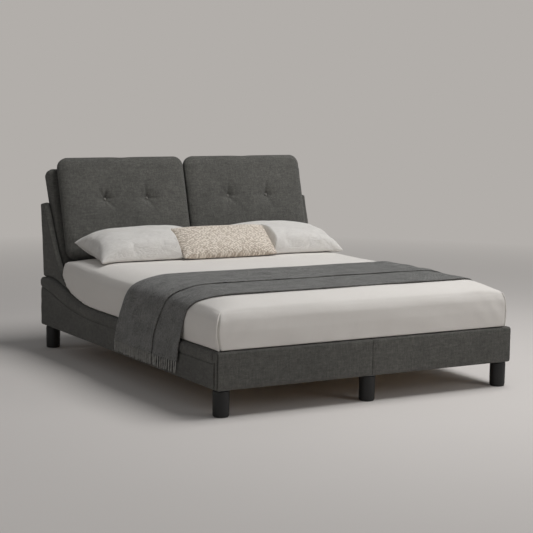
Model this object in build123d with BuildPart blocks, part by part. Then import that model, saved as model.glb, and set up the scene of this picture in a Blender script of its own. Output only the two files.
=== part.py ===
"""Upholstered double bed with a leaning two-cushion headboard, for a 1800 x 2000 mm mattress.

The bed stands on z = 0. +X is to the right seen from the foot, +Y points to the head.
The origin is under the middle of the whole bed. All sizes are in millimetres.
"""

import math
import os

from build123d import *

os.makedirs("parts", exist_ok=True)

# ---------------------------------------------------------------- driving dimensions
frame_width = 1900.0
frame_end = 2350.0
leg_diameter = 88.0
leg_height = 142.0
rail_top = 341.0
rail_thickness = 50.0
side_crest = 454.0
wing_top = 915.0
lean_slope = 0.282
mattress_width = 1786.0
mattress_length = 1986.0
mattress_thickness = 298.0
mattress_bottom = 300.0
sheet_thickness = 2.0

board = 18.0
front_board = 25.0
outer_pad = 15.0
front_pad = 12.0
thin_wrap = 4.0
top_wrap = 10.0
roll_height = 64.0
roll_proud = 6.0
inner_face = 900.0

wing_ply = 15.0
wing_pad = 19.0
wing_flare = 30.0

panel_half_width = 895.0
panel_flare = 32.0
panel_thickness = 82.0
panel_height = 537.0
panel_drop = 223.0
panel_base_y = 2133.0
panel_base_z = 620.0

cushion_outer = 878.0
cushion_gap = 5.0
cushion_thickness = 79.0
cushion_bottom = -18.0
cushion_top = 593.0
cushion_corner = 30.0
button_line = 320.0
button_places = (298.0, 592.0)

bolt_radius = 4.4
bolt_hole = 4.8
bolt_sides = 6
bolt_end = 1.0
stud_radius = 4.9
stud_hole = 5.4
stud_grip = 20.0
stud_depth = 21.0

ledger_size = 30.0
ledger_top = 276.0
slat_count = 14
slat_width = 68.0
slat_thickness = 12.0
slat_rise = 8.0
cap_wall = 3.0
cap_grip = 34.0
beam_width = 60.0
beam_bottom = 196.0

throw_thickness = 12.0
throw_clearance = 2.0
throw_hem = 223.0
fringe_length = 70.0

pillow_size = (860.0, 460.0, 170.0)
pillow_tilt = 13.0
lumbar_size = (660.0, 256.0, 108.0)
lumbar_tilt = 39.0

# ---------------------------------------------------------------- places worked out from them
# The top rear edge of the leaning headboard is the furthest point at the head.
lean = math.degrees(math.atan(lean_slope))
top_rear_y = (panel_height - thin_wrap) * math.sin(math.radians(lean))
bed_length = panel_base_y + top_rear_y + panel_thickness * math.cos(math.radians(lean))
foot_face = -bed_length / 2
half_width = frame_width / 2
board_outer = half_width - outer_pad
board_inner = board_outer - board
roll_outer = half_width + roll_proud
leg_places_x = half_width - 52.0
leg_foot_y = foot_face + 50.0
leg_head_y = foot_face + 2274.0
rail_inner_y = foot_face + rail_thickness
mattress_foot = rail_inner_y + 4.0
mattress_top = mattress_bottom + mattress_thickness
sheet_top = mattress_top + sheet_thickness
cross_rail_y = foot_face + 2052.0
frame_back = foot_face + frame_end
inner_board_y = foot_face + front_pad
sides = {"left": -1, "right": 1}

# Planes: width, height and length views of the bed, and the leaning front of the headboard.
head_plane = Plane(
    origin=(0, foot_face + panel_base_y, panel_base_z),
    x_dir=(1, 0, 0),
    z_dir=(0, -math.cos(math.radians(lean)), math.sin(math.radians(lean))),
)
head_axis = Axis(head_plane.origin, head_plane.z_dir)


def along(y):
    """Distance from the outer face of the foot turned into the bed's own Y."""
    return foot_face + y


def save(part, label):
    part.label = label
    export_step(part, f"parts/{label}.step")


# ---------------------------------------------------------------- shared outlines of a side
# Length and height of the points each line passes: level from the foot, then rising to the head.
crest_points = [(1530, rail_top), (1869, rail_top + 42), (2124, side_crest - 10), (2240, side_crest), (frame_end, 446)]
seam_height = rail_top - roll_height
seam_points = [(1500, seam_height), (1803, seam_height + 16), (2108, seam_height + 69), (frame_end, 381)]


def side_outline(points, drop, bottom):
    """Side panel seen from the side, closed under the crest line or under the seam line."""
    path = [(along(y), z - drop) for y, z in points]
    start = (along(rail_thickness), path[0][1])
    Line(start, path[0])
    Spline(path, tangents=[(1, 0), (1, 0)])
    Polyline(path[-1], (frame_back, bottom), (along(rail_thickness), bottom), start)


def wing_outline(inset):
    """Wing seen from the side: a swoop from the rail up into an upright with a leaning front."""
    tip = (along(1490 + 2 * inset), 283.0)
    foot_top = (along(1490 + 2 * inset), rail_top - 12 - inset)
    head_top = (along(2262 + inset), wing_top - inset)
    Line(tip, foot_top)
    Spline(
        [
            foot_top,
            (along(1700 + inset), 350 - inset),
            (along(1862 + inset), 380 - inset),
            (along(1998 + inset), 448 - inset),
            (along(2082 + inset), 532 - 0.6 * inset),
            (along(2146 + inset), 640.0),
            head_top,
        ],
        tangents=[(1, 0.05), (0.42, 1)],
    )
    Polyline(
        head_top,
        (along(2322 - inset), wing_top - inset),
        (along(2345 - inset), 480.0),
        (along(2345 - inset), 283.0),
        tip,
    )


def wing_section(side, inner, outer):
    """Cross-section of a wing: upright at the rail, then flaring outwards."""
    Polyline(
        (side * inner, 270.0),
        (side * inner, side_crest + 8),
        (side * (inner + wing_flare), wing_top + 20),
        (side * (outer + wing_flare), wing_top + 20),
        (side * outer, side_crest + 8),
        (side * outer, 270.0),
        close=True,
    )


# ---------------------------------------------------------------- side panels, left and right
side_bolt_spots = [(y, z) for y in (leg_foot_y + 40, leg_head_y + 4) for z in (170, 210)]
end_bolt_heights = (190, 228)
end_bolt_x = half_width - 82
blind_depth = bolt_end - 0.4
panel_bolt_spots = [(along(2137), 470), (along(2158), 540)]

for name, side in sides.items():
    # Board cut to the rising outline; it carries the ledger, the wing and the covers.
    with BuildPart() as side_board:
        with BuildSketch(Plane.YZ.offset(side * board_inner)):
            with BuildLine():
                side_outline(crest_points, top_wrap, leg_height + thin_wrap)
            make_face()
            with Locations((frame_back - 6, 300)):
                Rectangle(12, 600, mode=Mode.SUBTRACT)
        extrude(amount=side * board)
        with BuildSketch(Plane.YZ.offset(side * board_inner)):
            with Locations(*side_bolt_spots):
                RegularPolygon(bolt_hole, bolt_sides)
        extrude(amount=side * (board - blind_depth), mode=Mode.SUBTRACT)
    save(side_board.part, f"side_board_{name}")

    # Padded cover below the seam: outer face, wrap under the board and end at the head.
    with BuildPart() as side_cover:
        with BuildSketch(Plane.YZ.offset(side * board_inner)):
            with BuildLine():
                side_outline(seam_points, 0.0, leg_height)
            make_face()
        extrude(amount=side * (half_width - board_inner))
        outer_edges = side_cover.edges().filter_by_position(Axis.X, side * half_width - 1, side * half_width + 1)
        chamfer(outer_edges.filter_by(Axis.Z).sort_by(Axis.Y)[-1], 6)
        add(side_board.part, mode=Mode.SUBTRACT)
        with BuildSketch(Plane.YZ.offset(side * board_inner)):
            with Locations(*side_bolt_spots):
                RegularPolygon(bolt_hole + 1, bolt_sides)
        extrude(amount=side * (board - blind_depth), mode=Mode.SUBTRACT)
    save(side_cover.part, f"side_cover_{name}")

    # Bent plywood wing, standing inside the board and carrying the headboard.
    with BuildPart() as wing_board:
        with BuildSketch(Plane.YZ.offset(side * (half_width - 80))):
            with BuildLine():
                wing_outline(12.0)
            make_face()
        extrude(amount=side * 140)
        with BuildSketch(Plane.XZ.offset(-along(2400))):
            with BuildLine():
                wing_section(side, inner_face + 2, inner_face + 2 + wing_ply)
            make_face()
        extrude(amount=1000, mode=Mode.INTERSECT)
        with BuildSketch(Plane.YZ.offset(side * inner_face)):
            with Locations(*panel_bolt_spots):
                RegularPolygon(bolt_hole, bolt_sides)
        extrude(amount=side * 40, mode=Mode.SUBTRACT)
    save(wing_board.part, f"wing_board_{name}")

    # Padded wing cover: thin skin inside, thick pad outside above the side panel.
    with BuildPart() as wing_cover:
        with BuildSketch(Plane.YZ.offset(side * (half_width - 80))):
            with BuildLine():
                wing_outline(0.0)
            make_face()
        extrude(amount=side * 140)
        with BuildSketch(Plane.XZ.offset(-along(2400))):
            with BuildLine():
                wing_section(side, inner_face - 1, inner_face + 2 + wing_ply + wing_pad)
            make_face()
        extrude(amount=1000, mode=Mode.INTERSECT)
        with BuildSketch(Plane.YZ.offset(side * board_inner)):
            with BuildLine():
                side_outline(crest_points, -1.0, leg_height)
            make_face()
        extrude(amount=side * 80, mode=Mode.SUBTRACT)
        add(wing_board.part, mode=Mode.SUBTRACT)
        with BuildSketch(Plane.YZ.offset(side * (inner_face - 2))):
            with Locations(*panel_bolt_spots):
                RegularPolygon(10, 6)
        extrude(amount=side * 30, mode=Mode.SUBTRACT)
    save(wing_cover.part, f"wing_cover_{name}")

    # Padded roll along the top of the side panel, tucked behind the wing at the head.
    with BuildPart() as side_roll:
        with BuildSketch(Plane.YZ.offset(side * inner_face)):
            with BuildLine():
                side_outline(crest_points, 0.0, leg_height)
            make_face()
            with BuildLine():
                side_outline(seam_points, 0.0, leg_height - 40)
            make_face(mode=Mode.SUBTRACT)
        extrude(amount=side * (roll_outer - inner_face))
        roll_edges = side_roll.edges().filter_by_position(Axis.X, side * roll_outer - 1, side * roll_outer + 1)
        chamfer(roll_edges.filter_by(lambda edge: edge.length > 500), 9)
        add(side_board.part, mode=Mode.SUBTRACT)
        with BuildSketch(Plane.YZ.offset(side * (inner_face - 20))):
            with BuildLine():
                wing_outline(-4.0)
            make_face()
        extrude(amount=side * (board_inner - inner_face + 20), mode=Mode.SUBTRACT)
    save(side_roll.part, f"side_roll_{name}")


# ---------------------------------------------------------------- footboard in two halves
splice_bolt_x = (40, 110)
splice_bolt_z = 170

for name, side in sides.items():
    with BuildPart() as foot_board:
        with BuildSketch(Plane.YZ):
            with Locations((inner_board_y + front_board / 2, (leg_height + rail_top + thin_wrap - top_wrap) / 2)):
                Rectangle(front_board, rail_top - top_wrap - leg_height - thin_wrap)
        extrude(amount=side * (half_width - front_pad))
        with BuildSketch(Plane.XZ.offset(-inner_board_y - front_board)):
            with Locations(*[(side * end_bolt_x, z) for z in end_bolt_heights]):
                RegularPolygon(bolt_hole, bolt_sides)
            with Locations(*[(side * x, splice_bolt_z) for x in splice_bolt_x]):
                RegularPolygon(bolt_hole, bolt_sides)
        extrude(amount=front_board - blind_depth, mode=Mode.SUBTRACT)
    save(foot_board.part, f"foot_board_{name}")

    with BuildPart() as foot_cover:
        with BuildSketch(Plane.YZ):
            with BuildLine():
                Polyline(
                    (foot_face, leg_height),
                    (foot_face + front_pad + front_board, leg_height),
                    (foot_face + front_pad + front_board, 285),
                    (rail_inner_y, 285),
                    (rail_inner_y, rail_top),
                    (foot_face, rail_top),
                    close=True,
                )
            make_face()
        extrude(amount=side * half_width)
        with BuildSketch(Plane.YZ.offset(side * half_width)):
            with Locations((foot_face + rail_thickness / 2, (leg_height + rail_top) / 2)):
                Rectangle(rail_thickness, rail_top - leg_height)
        extrude(amount=-side * front_pad)
        front_edges = foot_cover.edges().filter_by_position(Axis.Y, foot_face - 1, foot_face + 1)
        chamfer(front_edges.sort_by(Axis.Z)[-1], 6)
        front_edges = foot_cover.edges().filter_by_position(Axis.Y, foot_face - 1, foot_face + 1)
        corner_edge = front_edges.filter_by(Axis.Z).sort_by(Axis.X)[-1 if side > 0 else 0]
        chamfer(corner_edge, 6)
        add(foot_board.part, mode=Mode.SUBTRACT)
        with BuildSketch(Plane.XZ.offset(-inner_board_y - front_board)):
            with Locations(*[(side * end_bolt_x, z) for z in end_bolt_heights]):
                RegularPolygon(bolt_hole + 1, bolt_sides)
            with Locations(*[(side * x, splice_bolt_z) for x in splice_bolt_x]):
                RegularPolygon(bolt_hole + 1, bolt_sides)
        extrude(amount=front_board - blind_depth, mode=Mode.SUBTRACT)
    save(foot_cover.part, f"foot_cover_{name}")

with BuildPart() as foot_splice_block:
    with BuildSketch(Plane.XY.offset(leg_height + thin_wrap)):
        with Locations((0, inner_board_y + front_board + 29)):
            Rectangle(300, 58)
    extrude(amount=beam_bottom - leg_height - thin_wrap)
    with BuildSketch(Plane.XZ.offset(-(inner_board_y + front_board))):
        with Locations(*[(side * x, splice_bolt_z) for side in (-1, 1) for x in splice_bolt_x]):
            RegularPolygon(bolt_hole, bolt_sides)
    extrude(amount=-58, mode=Mode.SUBTRACT)
    with BuildSketch(Plane.XY.offset(leg_height + thin_wrap)):
        with Locations((0, leg_foot_y)):
            RegularPolygon(stud_hole, bolt_sides)
    extrude(amount=stud_depth, mode=Mode.SUBTRACT)
save(foot_splice_block.part, "foot_splice_block")

# ---------------------------------------------------------------- head end of the frame
with BuildPart() as head_cross_rail:
    with BuildSketch(Plane.XY.offset(leg_height + thin_wrap)):
        with Locations((0, cross_rail_y + front_board / 2)):
            Rectangle(2 * board_inner, front_board)
    extrude(amount=224)
    with BuildSketch(Plane.XY.offset(ledger_top - ledger_size)):
        with Locations((-board_inner, cross_rail_y + front_board / 2), (board_inner, cross_rail_y + front_board / 2)):
            Rectangle(2 * (board_inner - inner_face + 2), front_board)
    extrude(amount=150, mode=Mode.SUBTRACT)
save(head_cross_rail.part, "head_cross_rail")

rear_board_y = frame_back - 30.0
rear_height = 250.0
with BuildPart() as rear_board:
    with BuildSketch(Plane.XY.offset(leg_height + thin_wrap)):
        with Locations((0, rear_board_y + board / 2)):
            Rectangle(2 * (inner_face - 2), board)
    extrude(amount=rear_height)
    with BuildSketch(Plane.XZ.offset(-rear_board_y)):
        with Locations(*[(side * end_bolt_x, z) for side in (-1, 1) for z in end_bolt_heights]):
            RegularPolygon(bolt_hole, bolt_sides)
    extrude(amount=-(board - blind_depth), mode=Mode.SUBTRACT)
save(rear_board.part, "rear_board")

with BuildPart() as rear_cover:
    with BuildSketch(Plane.XY.offset(leg_height)):
        with Locations((0, rear_board_y + board / 2 + 5)):
            Rectangle(2 * (inner_face - 2), board + 10)
    extrude(amount=rear_height + thin_wrap + top_wrap)
    back_edges = rear_cover.edges().filter_by_position(Axis.Y, rear_board_y + board + 9, rear_board_y + board + 11)
    chamfer(back_edges.filter_by(Axis.X), 5)
    add(rear_board.part, mode=Mode.SUBTRACT)
    with BuildSketch(Plane.XZ.offset(-rear_board_y)):
        with Locations(*[(side * end_bolt_x, z) for side in (-1, 1) for z in end_bolt_heights]):
            RegularPolygon(bolt_hole + 1, bolt_sides)
    extrude(amount=-(board - blind_depth), mode=Mode.SUBTRACT)
save(rear_cover.part, "rear_cover")

gusset_thickness = 18.0
gusset_x = 450.0
gusset_low = 384.0
gusset_high = 930.0
panel_rear_y = foot_face + panel_base_y + panel_thickness / math.cos(math.radians(lean))
lean_low = lean_slope * (gusset_low - panel_base_z)
lean_high = lean_slope * (gusset_high - panel_base_z)
for name, side in sides.items():
    with BuildPart() as headboard_gusset:
        with BuildSketch(Plane.YZ.offset(side * gusset_x - gusset_thickness / 2)):
            with BuildLine():
                Polyline(
                    (cross_rail_y + front_board, leg_height + 40),
                    (rear_board_y, leg_height + 40),
                    (rear_board_y, 860),
                    (panel_rear_y + lean_high + 12, gusset_high),
                    (panel_rear_y + lean_high, gusset_high),
                    (panel_rear_y + lean_low, gusset_low),
                    (cross_rail_y + front_board, gusset_low - 14),
                    close=True,
                )
            make_face()
        extrude(amount=gusset_thickness)
    save(headboard_gusset.part, f"headboard_gusset_{name}")

# ---------------------------------------------------------------- leaning headboard
frame_front = -20.0
frame_depth = 55.0
stile_width = 38.0
rail_width = 44.0
edge_pad = 8.0
core_half = panel_half_width - edge_pad
panel_bend = (side_crest + 34 - panel_base_z) / math.cos(math.radians(lean))


def panel_outline(inset, cut):
    """Leaning panel seen from its front: straight up to the bend of the wings, then spreading with them."""
    low, high = -panel_drop + inset, panel_height - inset
    half = panel_half_width - inset
    wide = half + panel_flare
    Polyline(
        (-half + cut, low),
        (half - cut, low),
        (half, low + cut),
        (half, panel_bend),
        (wide, high - cut),
        (wide - cut, high),
        (-wide + cut, high),
        (-wide, high - cut),
        (-half, panel_bend),
        (-half, low + cut),
        close=True,
    )


for name, side in sides.items():
    with BuildPart() as headboard_stile:
        with BuildSketch(head_plane.offset(frame_front - frame_depth)):
            with Locations((side * (core_half - stile_width / 2), (panel_height - panel_drop) / 2)):
                Rectangle(stile_width, panel_height + panel_drop - 2 * edge_pad)
        extrude(amount=frame_depth)
        with BuildSketch(Plane.YZ.offset(side * core_half)):
            with Locations(*panel_bolt_spots):
                RegularPolygon(bolt_hole, bolt_sides)
        extrude(amount=-side * 30, mode=Mode.SUBTRACT)
    save(headboard_stile.part, f"headboard_stile_{name}")

rail_heights = {
    "top": panel_height - edge_pad - rail_width / 2,
    "middle": 150.0,
    "bottom": -panel_drop + edge_pad + rail_width / 2,
}
for name, height in rail_heights.items():
    with BuildPart() as headboard_rail:
        with BuildSketch(head_plane.offset(frame_front - frame_depth)):
            with Locations((0, height)):
                Rectangle(2 * (core_half - stile_width), rail_width)
        extrude(amount=frame_depth)
    save(headboard_rail.part, f"headboard_{name}_rail")

fixing_spots = [(side * x, y) for side in (-1, 1) for x in button_places for y in (80.0, 440.0)]
with BuildPart() as headboard_board:
    with BuildSketch(head_plane.offset(frame_front)):
        with Locations((0, (panel_height - panel_drop) / 2)):
            Rectangle(2 * core_half, panel_height + panel_drop - 2 * edge_pad)
        with Locations(*fixing_spots):
            RegularPolygon(3.8, bolt_sides, mode=Mode.SUBTRACT)
    extrude(amount=12)
save(headboard_board.part, "headboard_board")

with BuildPart() as headboard_cover:
    with BuildSketch(head_plane.offset(-panel_thickness + thin_wrap)):
        with BuildLine():
            panel_outline(0.0, 12.0)
        make_face()
    extrude(amount=panel_thickness - thin_wrap)
    chamfer(headboard_cover.faces().sort_by(head_axis)[-1].edges(), 4)
    with BuildSketch(head_plane.offset(-panel_thickness + thin_wrap)):
        with Locations((0, (panel_height - panel_drop) / 2)):
            Rectangle(2 * core_half, panel_height + panel_drop - 2 * edge_pad)
    extrude(amount=panel_thickness - thin_wrap - edge_pad, mode=Mode.SUBTRACT)
    with BuildSketch(head_plane.offset(-edge_pad)):
        with Locations(*fixing_spots):
            RegularPolygon(3.8, bolt_sides)
    extrude(amount=edge_pad, mode=Mode.SUBTRACT)
    for side in (-1, 1):
        with BuildSketch(Plane.YZ.offset(side * (core_half - 1))):
            with Locations(*panel_bolt_spots):
                RegularPolygon(bolt_hole, bolt_sides)
        extrude(amount=side * 20, mode=Mode.SUBTRACT)
save(headboard_cover.part, "headboard_cover")

with BuildPart() as headboard_back_panel:
    with BuildSketch(head_plane.offset(-panel_thickness)):
        with BuildLine():
            panel_outline(4.0, 10.0)
        make_face()
    extrude(amount=thin_wrap)
save(headboard_back_panel.part, "headboard_back_panel")

with BuildPart() as headboard_bolts:
    for side in (-1, 1):
        for y, z in panel_bolt_spots:
            wing_face = inner_face + 2 + wing_ply + wing_flare * max(0, z - side_crest - 8) / (wing_top + 12 - side_crest)
            with BuildSketch(Plane.YZ.offset(side * (wing_face + 1))):
                with Locations((y, z)):
                    RegularPolygon(bolt_radius, bolt_sides)
            extrude(amount=-side * (wing_face + 1 - core_half + 28))
            with BuildSketch(Plane.YZ.offset(side * (wing_face + 1))):
                with Locations((y, z)):
                    RegularPolygon(8, 6)
            extrude(amount=side * 5)
save(headboard_bolts.part, "headboard_bolts")

# ---------------------------------------------------------------- headboard cushions
base_ply = 9.0
cushion_middle = (cushion_outer + cushion_gap) / 2
cushion_width = cushion_outer - cushion_gap
cushion_center = (cushion_top + cushion_bottom) / 2
cushion_height = cushion_top - cushion_bottom
base_half = panel_height - 22.0
dimple_radius = 60.0
dimple_depth = 16.0
dimple_taper = 48.0

with BuildPart() as cushion_base_boards:
    with BuildSketch(head_plane):
        with Locations((-cushion_middle, 260), (cushion_middle, 260)):
            Rectangle(cushion_width - 90, base_half)
        with Locations(*fixing_spots):
            RegularPolygon(3.8, bolt_sides, mode=Mode.SUBTRACT)
    extrude(amount=base_ply)
save(cushion_base_boards.part, "cushion_base_boards")

for name, side in sides.items():
    with BuildPart() as cushion:
        with BuildSketch(head_plane):
            with Locations((side * cushion_middle, cushion_center)):
                outline = Rectangle(cushion_width, cushion_height)
            chamfer(outline.vertices(), cushion_corner)
        extrude(amount=cushion_thickness)
        chamfer(cushion.faces().sort_by(head_axis)[-1].edges(), 17)
        chamfer(cushion.faces().sort_by(head_axis)[0].edges(), 7)
        add(cushion_base_boards.part, mode=Mode.SUBTRACT)
        with BuildSketch(head_plane):
            with Locations(*fixing_spots):
                RegularPolygon(4.2, bolt_sides)
        extrude(amount=base_ply + 1, mode=Mode.SUBTRACT)
        with BuildSketch(head_plane.offset(cushion_thickness)):
            with Locations(*[(side * place, button_line) for place in button_places]):
                RegularPolygon(dimple_radius / 2, 12)
        extrude(amount=-dimple_depth, taper=dimple_taper, mode=Mode.SUBTRACT)
    save(cushion.part, f"headboard_cushion_{name}")

with BuildPart() as cushion_buttons:
    for spot in [side * place for side in (-1, 1) for place in button_places]:
        with BuildSketch(head_plane.offset(cushion_thickness - dimple_depth)):
            with Locations((spot, button_line)):
                RegularPolygon(9.5, 12)
        extrude(amount=6, taper=35)
save(cushion_buttons.part, "cushion_buttons")

with BuildPart() as cushion_bolts:
    with BuildSketch(head_plane.offset(frame_front)):
        with Locations(*fixing_spots):
            RegularPolygon(3.4, bolt_sides)
    extrude(amount=-frame_front + base_ply)
    with BuildSketch(head_plane.offset(frame_front - 4)):
        with Locations(*fixing_spots):
            RegularPolygon(7, 6)
    extrude(amount=4)
save(cushion_bolts.part, "cushion_bolts")

# ---------------------------------------------------------------- corners, bolts and legs
block_height = 94.0
block_x = board_inner - 33.5
foot_block_y = inner_board_y + front_board + 36.5
head_block_y = rear_board_y - 42.5
with BuildPart() as corner_blocks:
    with BuildSketch(Plane.XY.offset(leg_height + thin_wrap)):
        with Locations((-block_x, foot_block_y), (block_x, foot_block_y)):
            Rectangle(67, 73)
        with Locations((-block_x, head_block_y), (block_x, head_block_y)):
            Rectangle(67, 85)
    extrude(amount=block_height)
    for side in (-1, 1):
        with BuildSketch(Plane.YZ.offset(side * (block_x - 34))):
            with Locations(*side_bolt_spots):
                RegularPolygon(bolt_hole, bolt_sides)
        extrude(amount=side * 68, mode=Mode.SUBTRACT)
        with BuildSketch(Plane.XZ.offset(-foot_face)):
            with Locations(*[(side * end_bolt_x, z) for z in end_bolt_heights]):
                RegularPolygon(bolt_hole, bolt_sides)
        extrude(amount=-frame_end, mode=Mode.SUBTRACT)
        with BuildSketch(Plane.XY.offset(leg_height + thin_wrap)):
            with Locations((side * leg_places_x, leg_foot_y), (side * leg_places_x, leg_head_y)):
                RegularPolygon(stud_hole, bolt_sides)
        extrude(amount=stud_depth, mode=Mode.SUBTRACT)
save(corner_blocks.part, "corner_blocks")

# Each bolt runs out through a block into a blind hole; its head sits on the block's inner face.
head_radius = 8.0
head_height = 5.0
block_inner_x = block_x - 33.5
foot_inner_y = foot_block_y + 36.5
head_inner_y = head_block_y - 42.5
splice_inner_y = inner_board_y + front_board + 58
splice_spots = [(side * x, splice_bolt_z) for side in (-1, 1) for x in splice_bolt_x]
with BuildPart() as frame_bolts:
    for side in (-1, 1):
        with BuildSketch(Plane.YZ.offset(side * block_inner_x)):
            with Locations(*side_bolt_spots):
                RegularPolygon(bolt_radius, bolt_sides)
        extrude(amount=side * (board_outer - block_inner_x - bolt_end))
        with BuildSketch(Plane.YZ.offset(side * block_inner_x)):
            with Locations(*side_bolt_spots):
                RegularPolygon(head_radius, 6)
        extrude(amount=-side * head_height)
    end_spots = [(side * end_bolt_x, z) for side in (-1, 1) for z in end_bolt_heights]
    rear_reach = rear_board_y + board - bolt_end - head_inner_y
    bolt_rows = [
        (foot_inner_y, end_spots, foot_inner_y - inner_board_y - bolt_end, 1),
        (splice_inner_y, splice_spots, splice_inner_y - inner_board_y - bolt_end, 1),
        (head_inner_y, end_spots, rear_reach, -1),
    ]
    for face_y, spots, reach, way in bolt_rows:
        with BuildSketch(Plane.XZ.offset(-face_y)):
            with Locations(*spots):
                RegularPolygon(bolt_radius, bolt_sides)
        extrude(amount=way * reach)
        with BuildSketch(Plane.XZ.offset(-face_y)):
            with Locations(*spots):
                RegularPolygon(head_radius, 6)
        extrude(amount=-way * head_height)
save(frame_bolts.part, "frame_bolts")

glide = 3.0
plate = 4.0
leg_plate_side = 60.0
beam_plate_side = 32.0
leg_spots = {
    "leg_foot_left": (-leg_places_x, leg_foot_y),
    "leg_foot_centre": (0.0, leg_foot_y),
    "leg_foot_right": (leg_places_x, leg_foot_y),
    "leg_head_left": (-leg_places_x, leg_head_y),
    "leg_head_right": (leg_places_x, leg_head_y),
}
for name, spot in leg_spots.items():
    with BuildPart() as leg:
        with BuildSketch(Plane.XY.offset(glide)):
            with Locations(spot):
                Circle(leg_diameter / 2)
        extrude(amount=leg_height - plate - glide)
    save(leg.part, name)

beam_leg_radius = 25.0
beam_leg_spots = {"beam_leg_front": (0.0, along(720)), "beam_leg_rear": (0.0, along(1400))}
for name, spot in beam_leg_spots.items():
    with BuildPart() as beam_leg:
        with BuildSketch(Plane.XY.offset(glide)):
            with Locations(spot):
                Circle(beam_leg_radius)
        extrude(amount=beam_bottom - plate - glide)
    save(beam_leg.part, name)

# Steel plate on top of each leg with a stud welded to it.
with BuildPart() as leg_plates:
    with BuildSketch(Plane.XY.offset(leg_height - plate)):
        with Locations(*leg_spots.values()):
            Rectangle(leg_plate_side, leg_plate_side)
    extrude(amount=plate)
    with BuildSketch(Plane.XY.offset(beam_bottom - plate)):
        with Locations(*beam_leg_spots.values()):
            Rectangle(beam_plate_side, beam_plate_side)
    extrude(amount=plate)
    with BuildSketch(Plane.XY.offset(leg_height - plate)):
        with Locations(*leg_spots.values()):
            RegularPolygon(stud_radius, bolt_sides)
    extrude(amount=plate + thin_wrap + stud_grip)
    with BuildSketch(Plane.XY.offset(beam_bottom - plate)):
        with Locations(*beam_leg_spots.values()):
            RegularPolygon(stud_radius, bolt_sides)
    extrude(amount=plate + stud_grip)
save(leg_plates.part, "leg_plates")

with BuildPart() as leg_glides:
    with BuildSketch():
        with Locations(*leg_spots.values()):
            RegularPolygon(leg_diameter / 2 - 5, 16)
        with Locations(*beam_leg_spots.values()):
            RegularPolygon(beam_leg_radius - 3, 12)
    extrude(amount=glide)
save(leg_glides.part, "leg_glides")

# ---------------------------------------------------------------- slatted base
ledger_length = cross_rail_y - 2 - rail_inner_y
for name, side in sides.items():
    with BuildPart() as slat_ledger:
        with BuildSketch(Plane.XY.offset(ledger_top - ledger_size)):
            with Locations((side * (board_inner - ledger_size / 2), rail_inner_y + ledger_length / 2)):
                Rectangle(ledger_size, ledger_length)
        extrude(amount=ledger_size)
        chamfer(slat_ledger.edges().filter_by(Axis.Y).sort_by(Axis.Z)[0:2], 3)
    save(slat_ledger.part, f"slat_ledger_{name}")

with BuildPart() as beam_rest_block:
    with BuildSketch(Plane.XY.offset(leg_height + thin_wrap)):
        with Locations((0, cross_rail_y - 30)):
            Rectangle(120, 60)
    extrude(amount=beam_bottom - leg_height - thin_wrap)
save(beam_rest_block.part, "beam_rest_block")

beam_start = inner_board_y + front_board
with BuildPart() as centre_beam:
    with BuildSketch(Plane.XY.offset(beam_bottom)):
        with Locations((0, (beam_start + cross_rail_y) / 2)):
            Rectangle(beam_width, cross_rail_y - beam_start)
    extrude(amount=ledger_top - beam_bottom)
    with BuildSketch(Plane.XY.offset(beam_bottom)):
        with Locations(*beam_leg_spots.values()):
            RegularPolygon(stud_hole, bolt_sides)
    extrude(amount=stud_depth, mode=Mode.SUBTRACT)
    chamfer(centre_beam.edges().filter_by(Axis.Y).sort_by(Axis.Z)[0:2], 4)
save(centre_beam.part, "centre_beam")

slat_inner_end = 5.0
slat_outer_end = 892.0
slat_bottom = ledger_top + cap_wall
first_slat = along(110)
last_slat = along(1985)
slat_pitch = (last_slat - first_slat) / (slat_count - 1)
slat_rows = [first_slat + slat_pitch * i for i in range(slat_count)]


slat_span = slat_outer_end - slat_inner_end
slat_arch = [(0.0, 0.0), (0.25, 0.75), (0.5, 1.0), (0.75, 0.75), (1.0, 0.0)]


def slat_profile(side):
    """Arched slat seen from the foot: its underside and then its upper side, back again."""
    under = [(side * (slat_inner_end + t * slat_span), slat_bottom + rise * slat_rise) for t, rise in slat_arch]
    upper = [(x, z + slat_thickness) for x, z in reversed(under)]
    Polyline(*under, *upper, close=True)


with BuildPart() as slats:
    for row in slat_rows:
        for side in (-1, 1):
            with BuildSketch(Plane.XZ.offset(-(row + slat_width / 2))):
                with BuildLine():
                    slat_profile(side)
                make_face()
            extrude(amount=slat_width)
save(slats.part, "slats")

cap_height = slat_thickness + 2 * cap_wall + 1.5
with BuildPart() as slat_end_caps:
    for row in slat_rows:
        with BuildSketch(Plane.XY.offset(ledger_top)):
            cap_center = slat_outer_end + cap_wall - (cap_grip + cap_wall) / 2
            with Locations((-cap_center, row), (cap_center, row)):
                Rectangle(cap_grip + cap_wall, slat_width + 2 * cap_wall)
        extrude(amount=cap_height)
    add(slats.part, mode=Mode.SUBTRACT)
save(slat_end_caps.part, "slat_end_caps")

with BuildPart() as slat_centre_caps:
    for row in slat_rows:
        with BuildSketch(Plane.XY.offset(ledger_top)):
            with Locations((0, row)):
                Rectangle(2 * (slat_inner_end + cap_grip - 6), slat_width + 2 * cap_wall)
        extrude(amount=cap_height)
    add(slats.part, mode=Mode.SUBTRACT)
save(slat_centre_caps.part, "slat_centre_caps")

# ---------------------------------------------------------------- mattress and fitted sheet
corner_cut = 25.0
edge_cut = 24.0
mattress_mid_y = mattress_foot + mattress_length / 2
with BuildPart() as mattress:
    with BuildSketch(Plane.XY.offset(mattress_bottom)):
        with Locations((0, mattress_mid_y)):
            outline = Rectangle(mattress_width, mattress_length)
        chamfer(outline.vertices(), corner_cut)
    extrude(amount=mattress_thickness)
    chamfer(mattress.faces().sort_by(Axis.Z)[-1].edges(), edge_cut)
    chamfer(mattress.faces().sort_by(Axis.Z)[0].edges(), 8)
save(mattress.part, "mattress")

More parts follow.
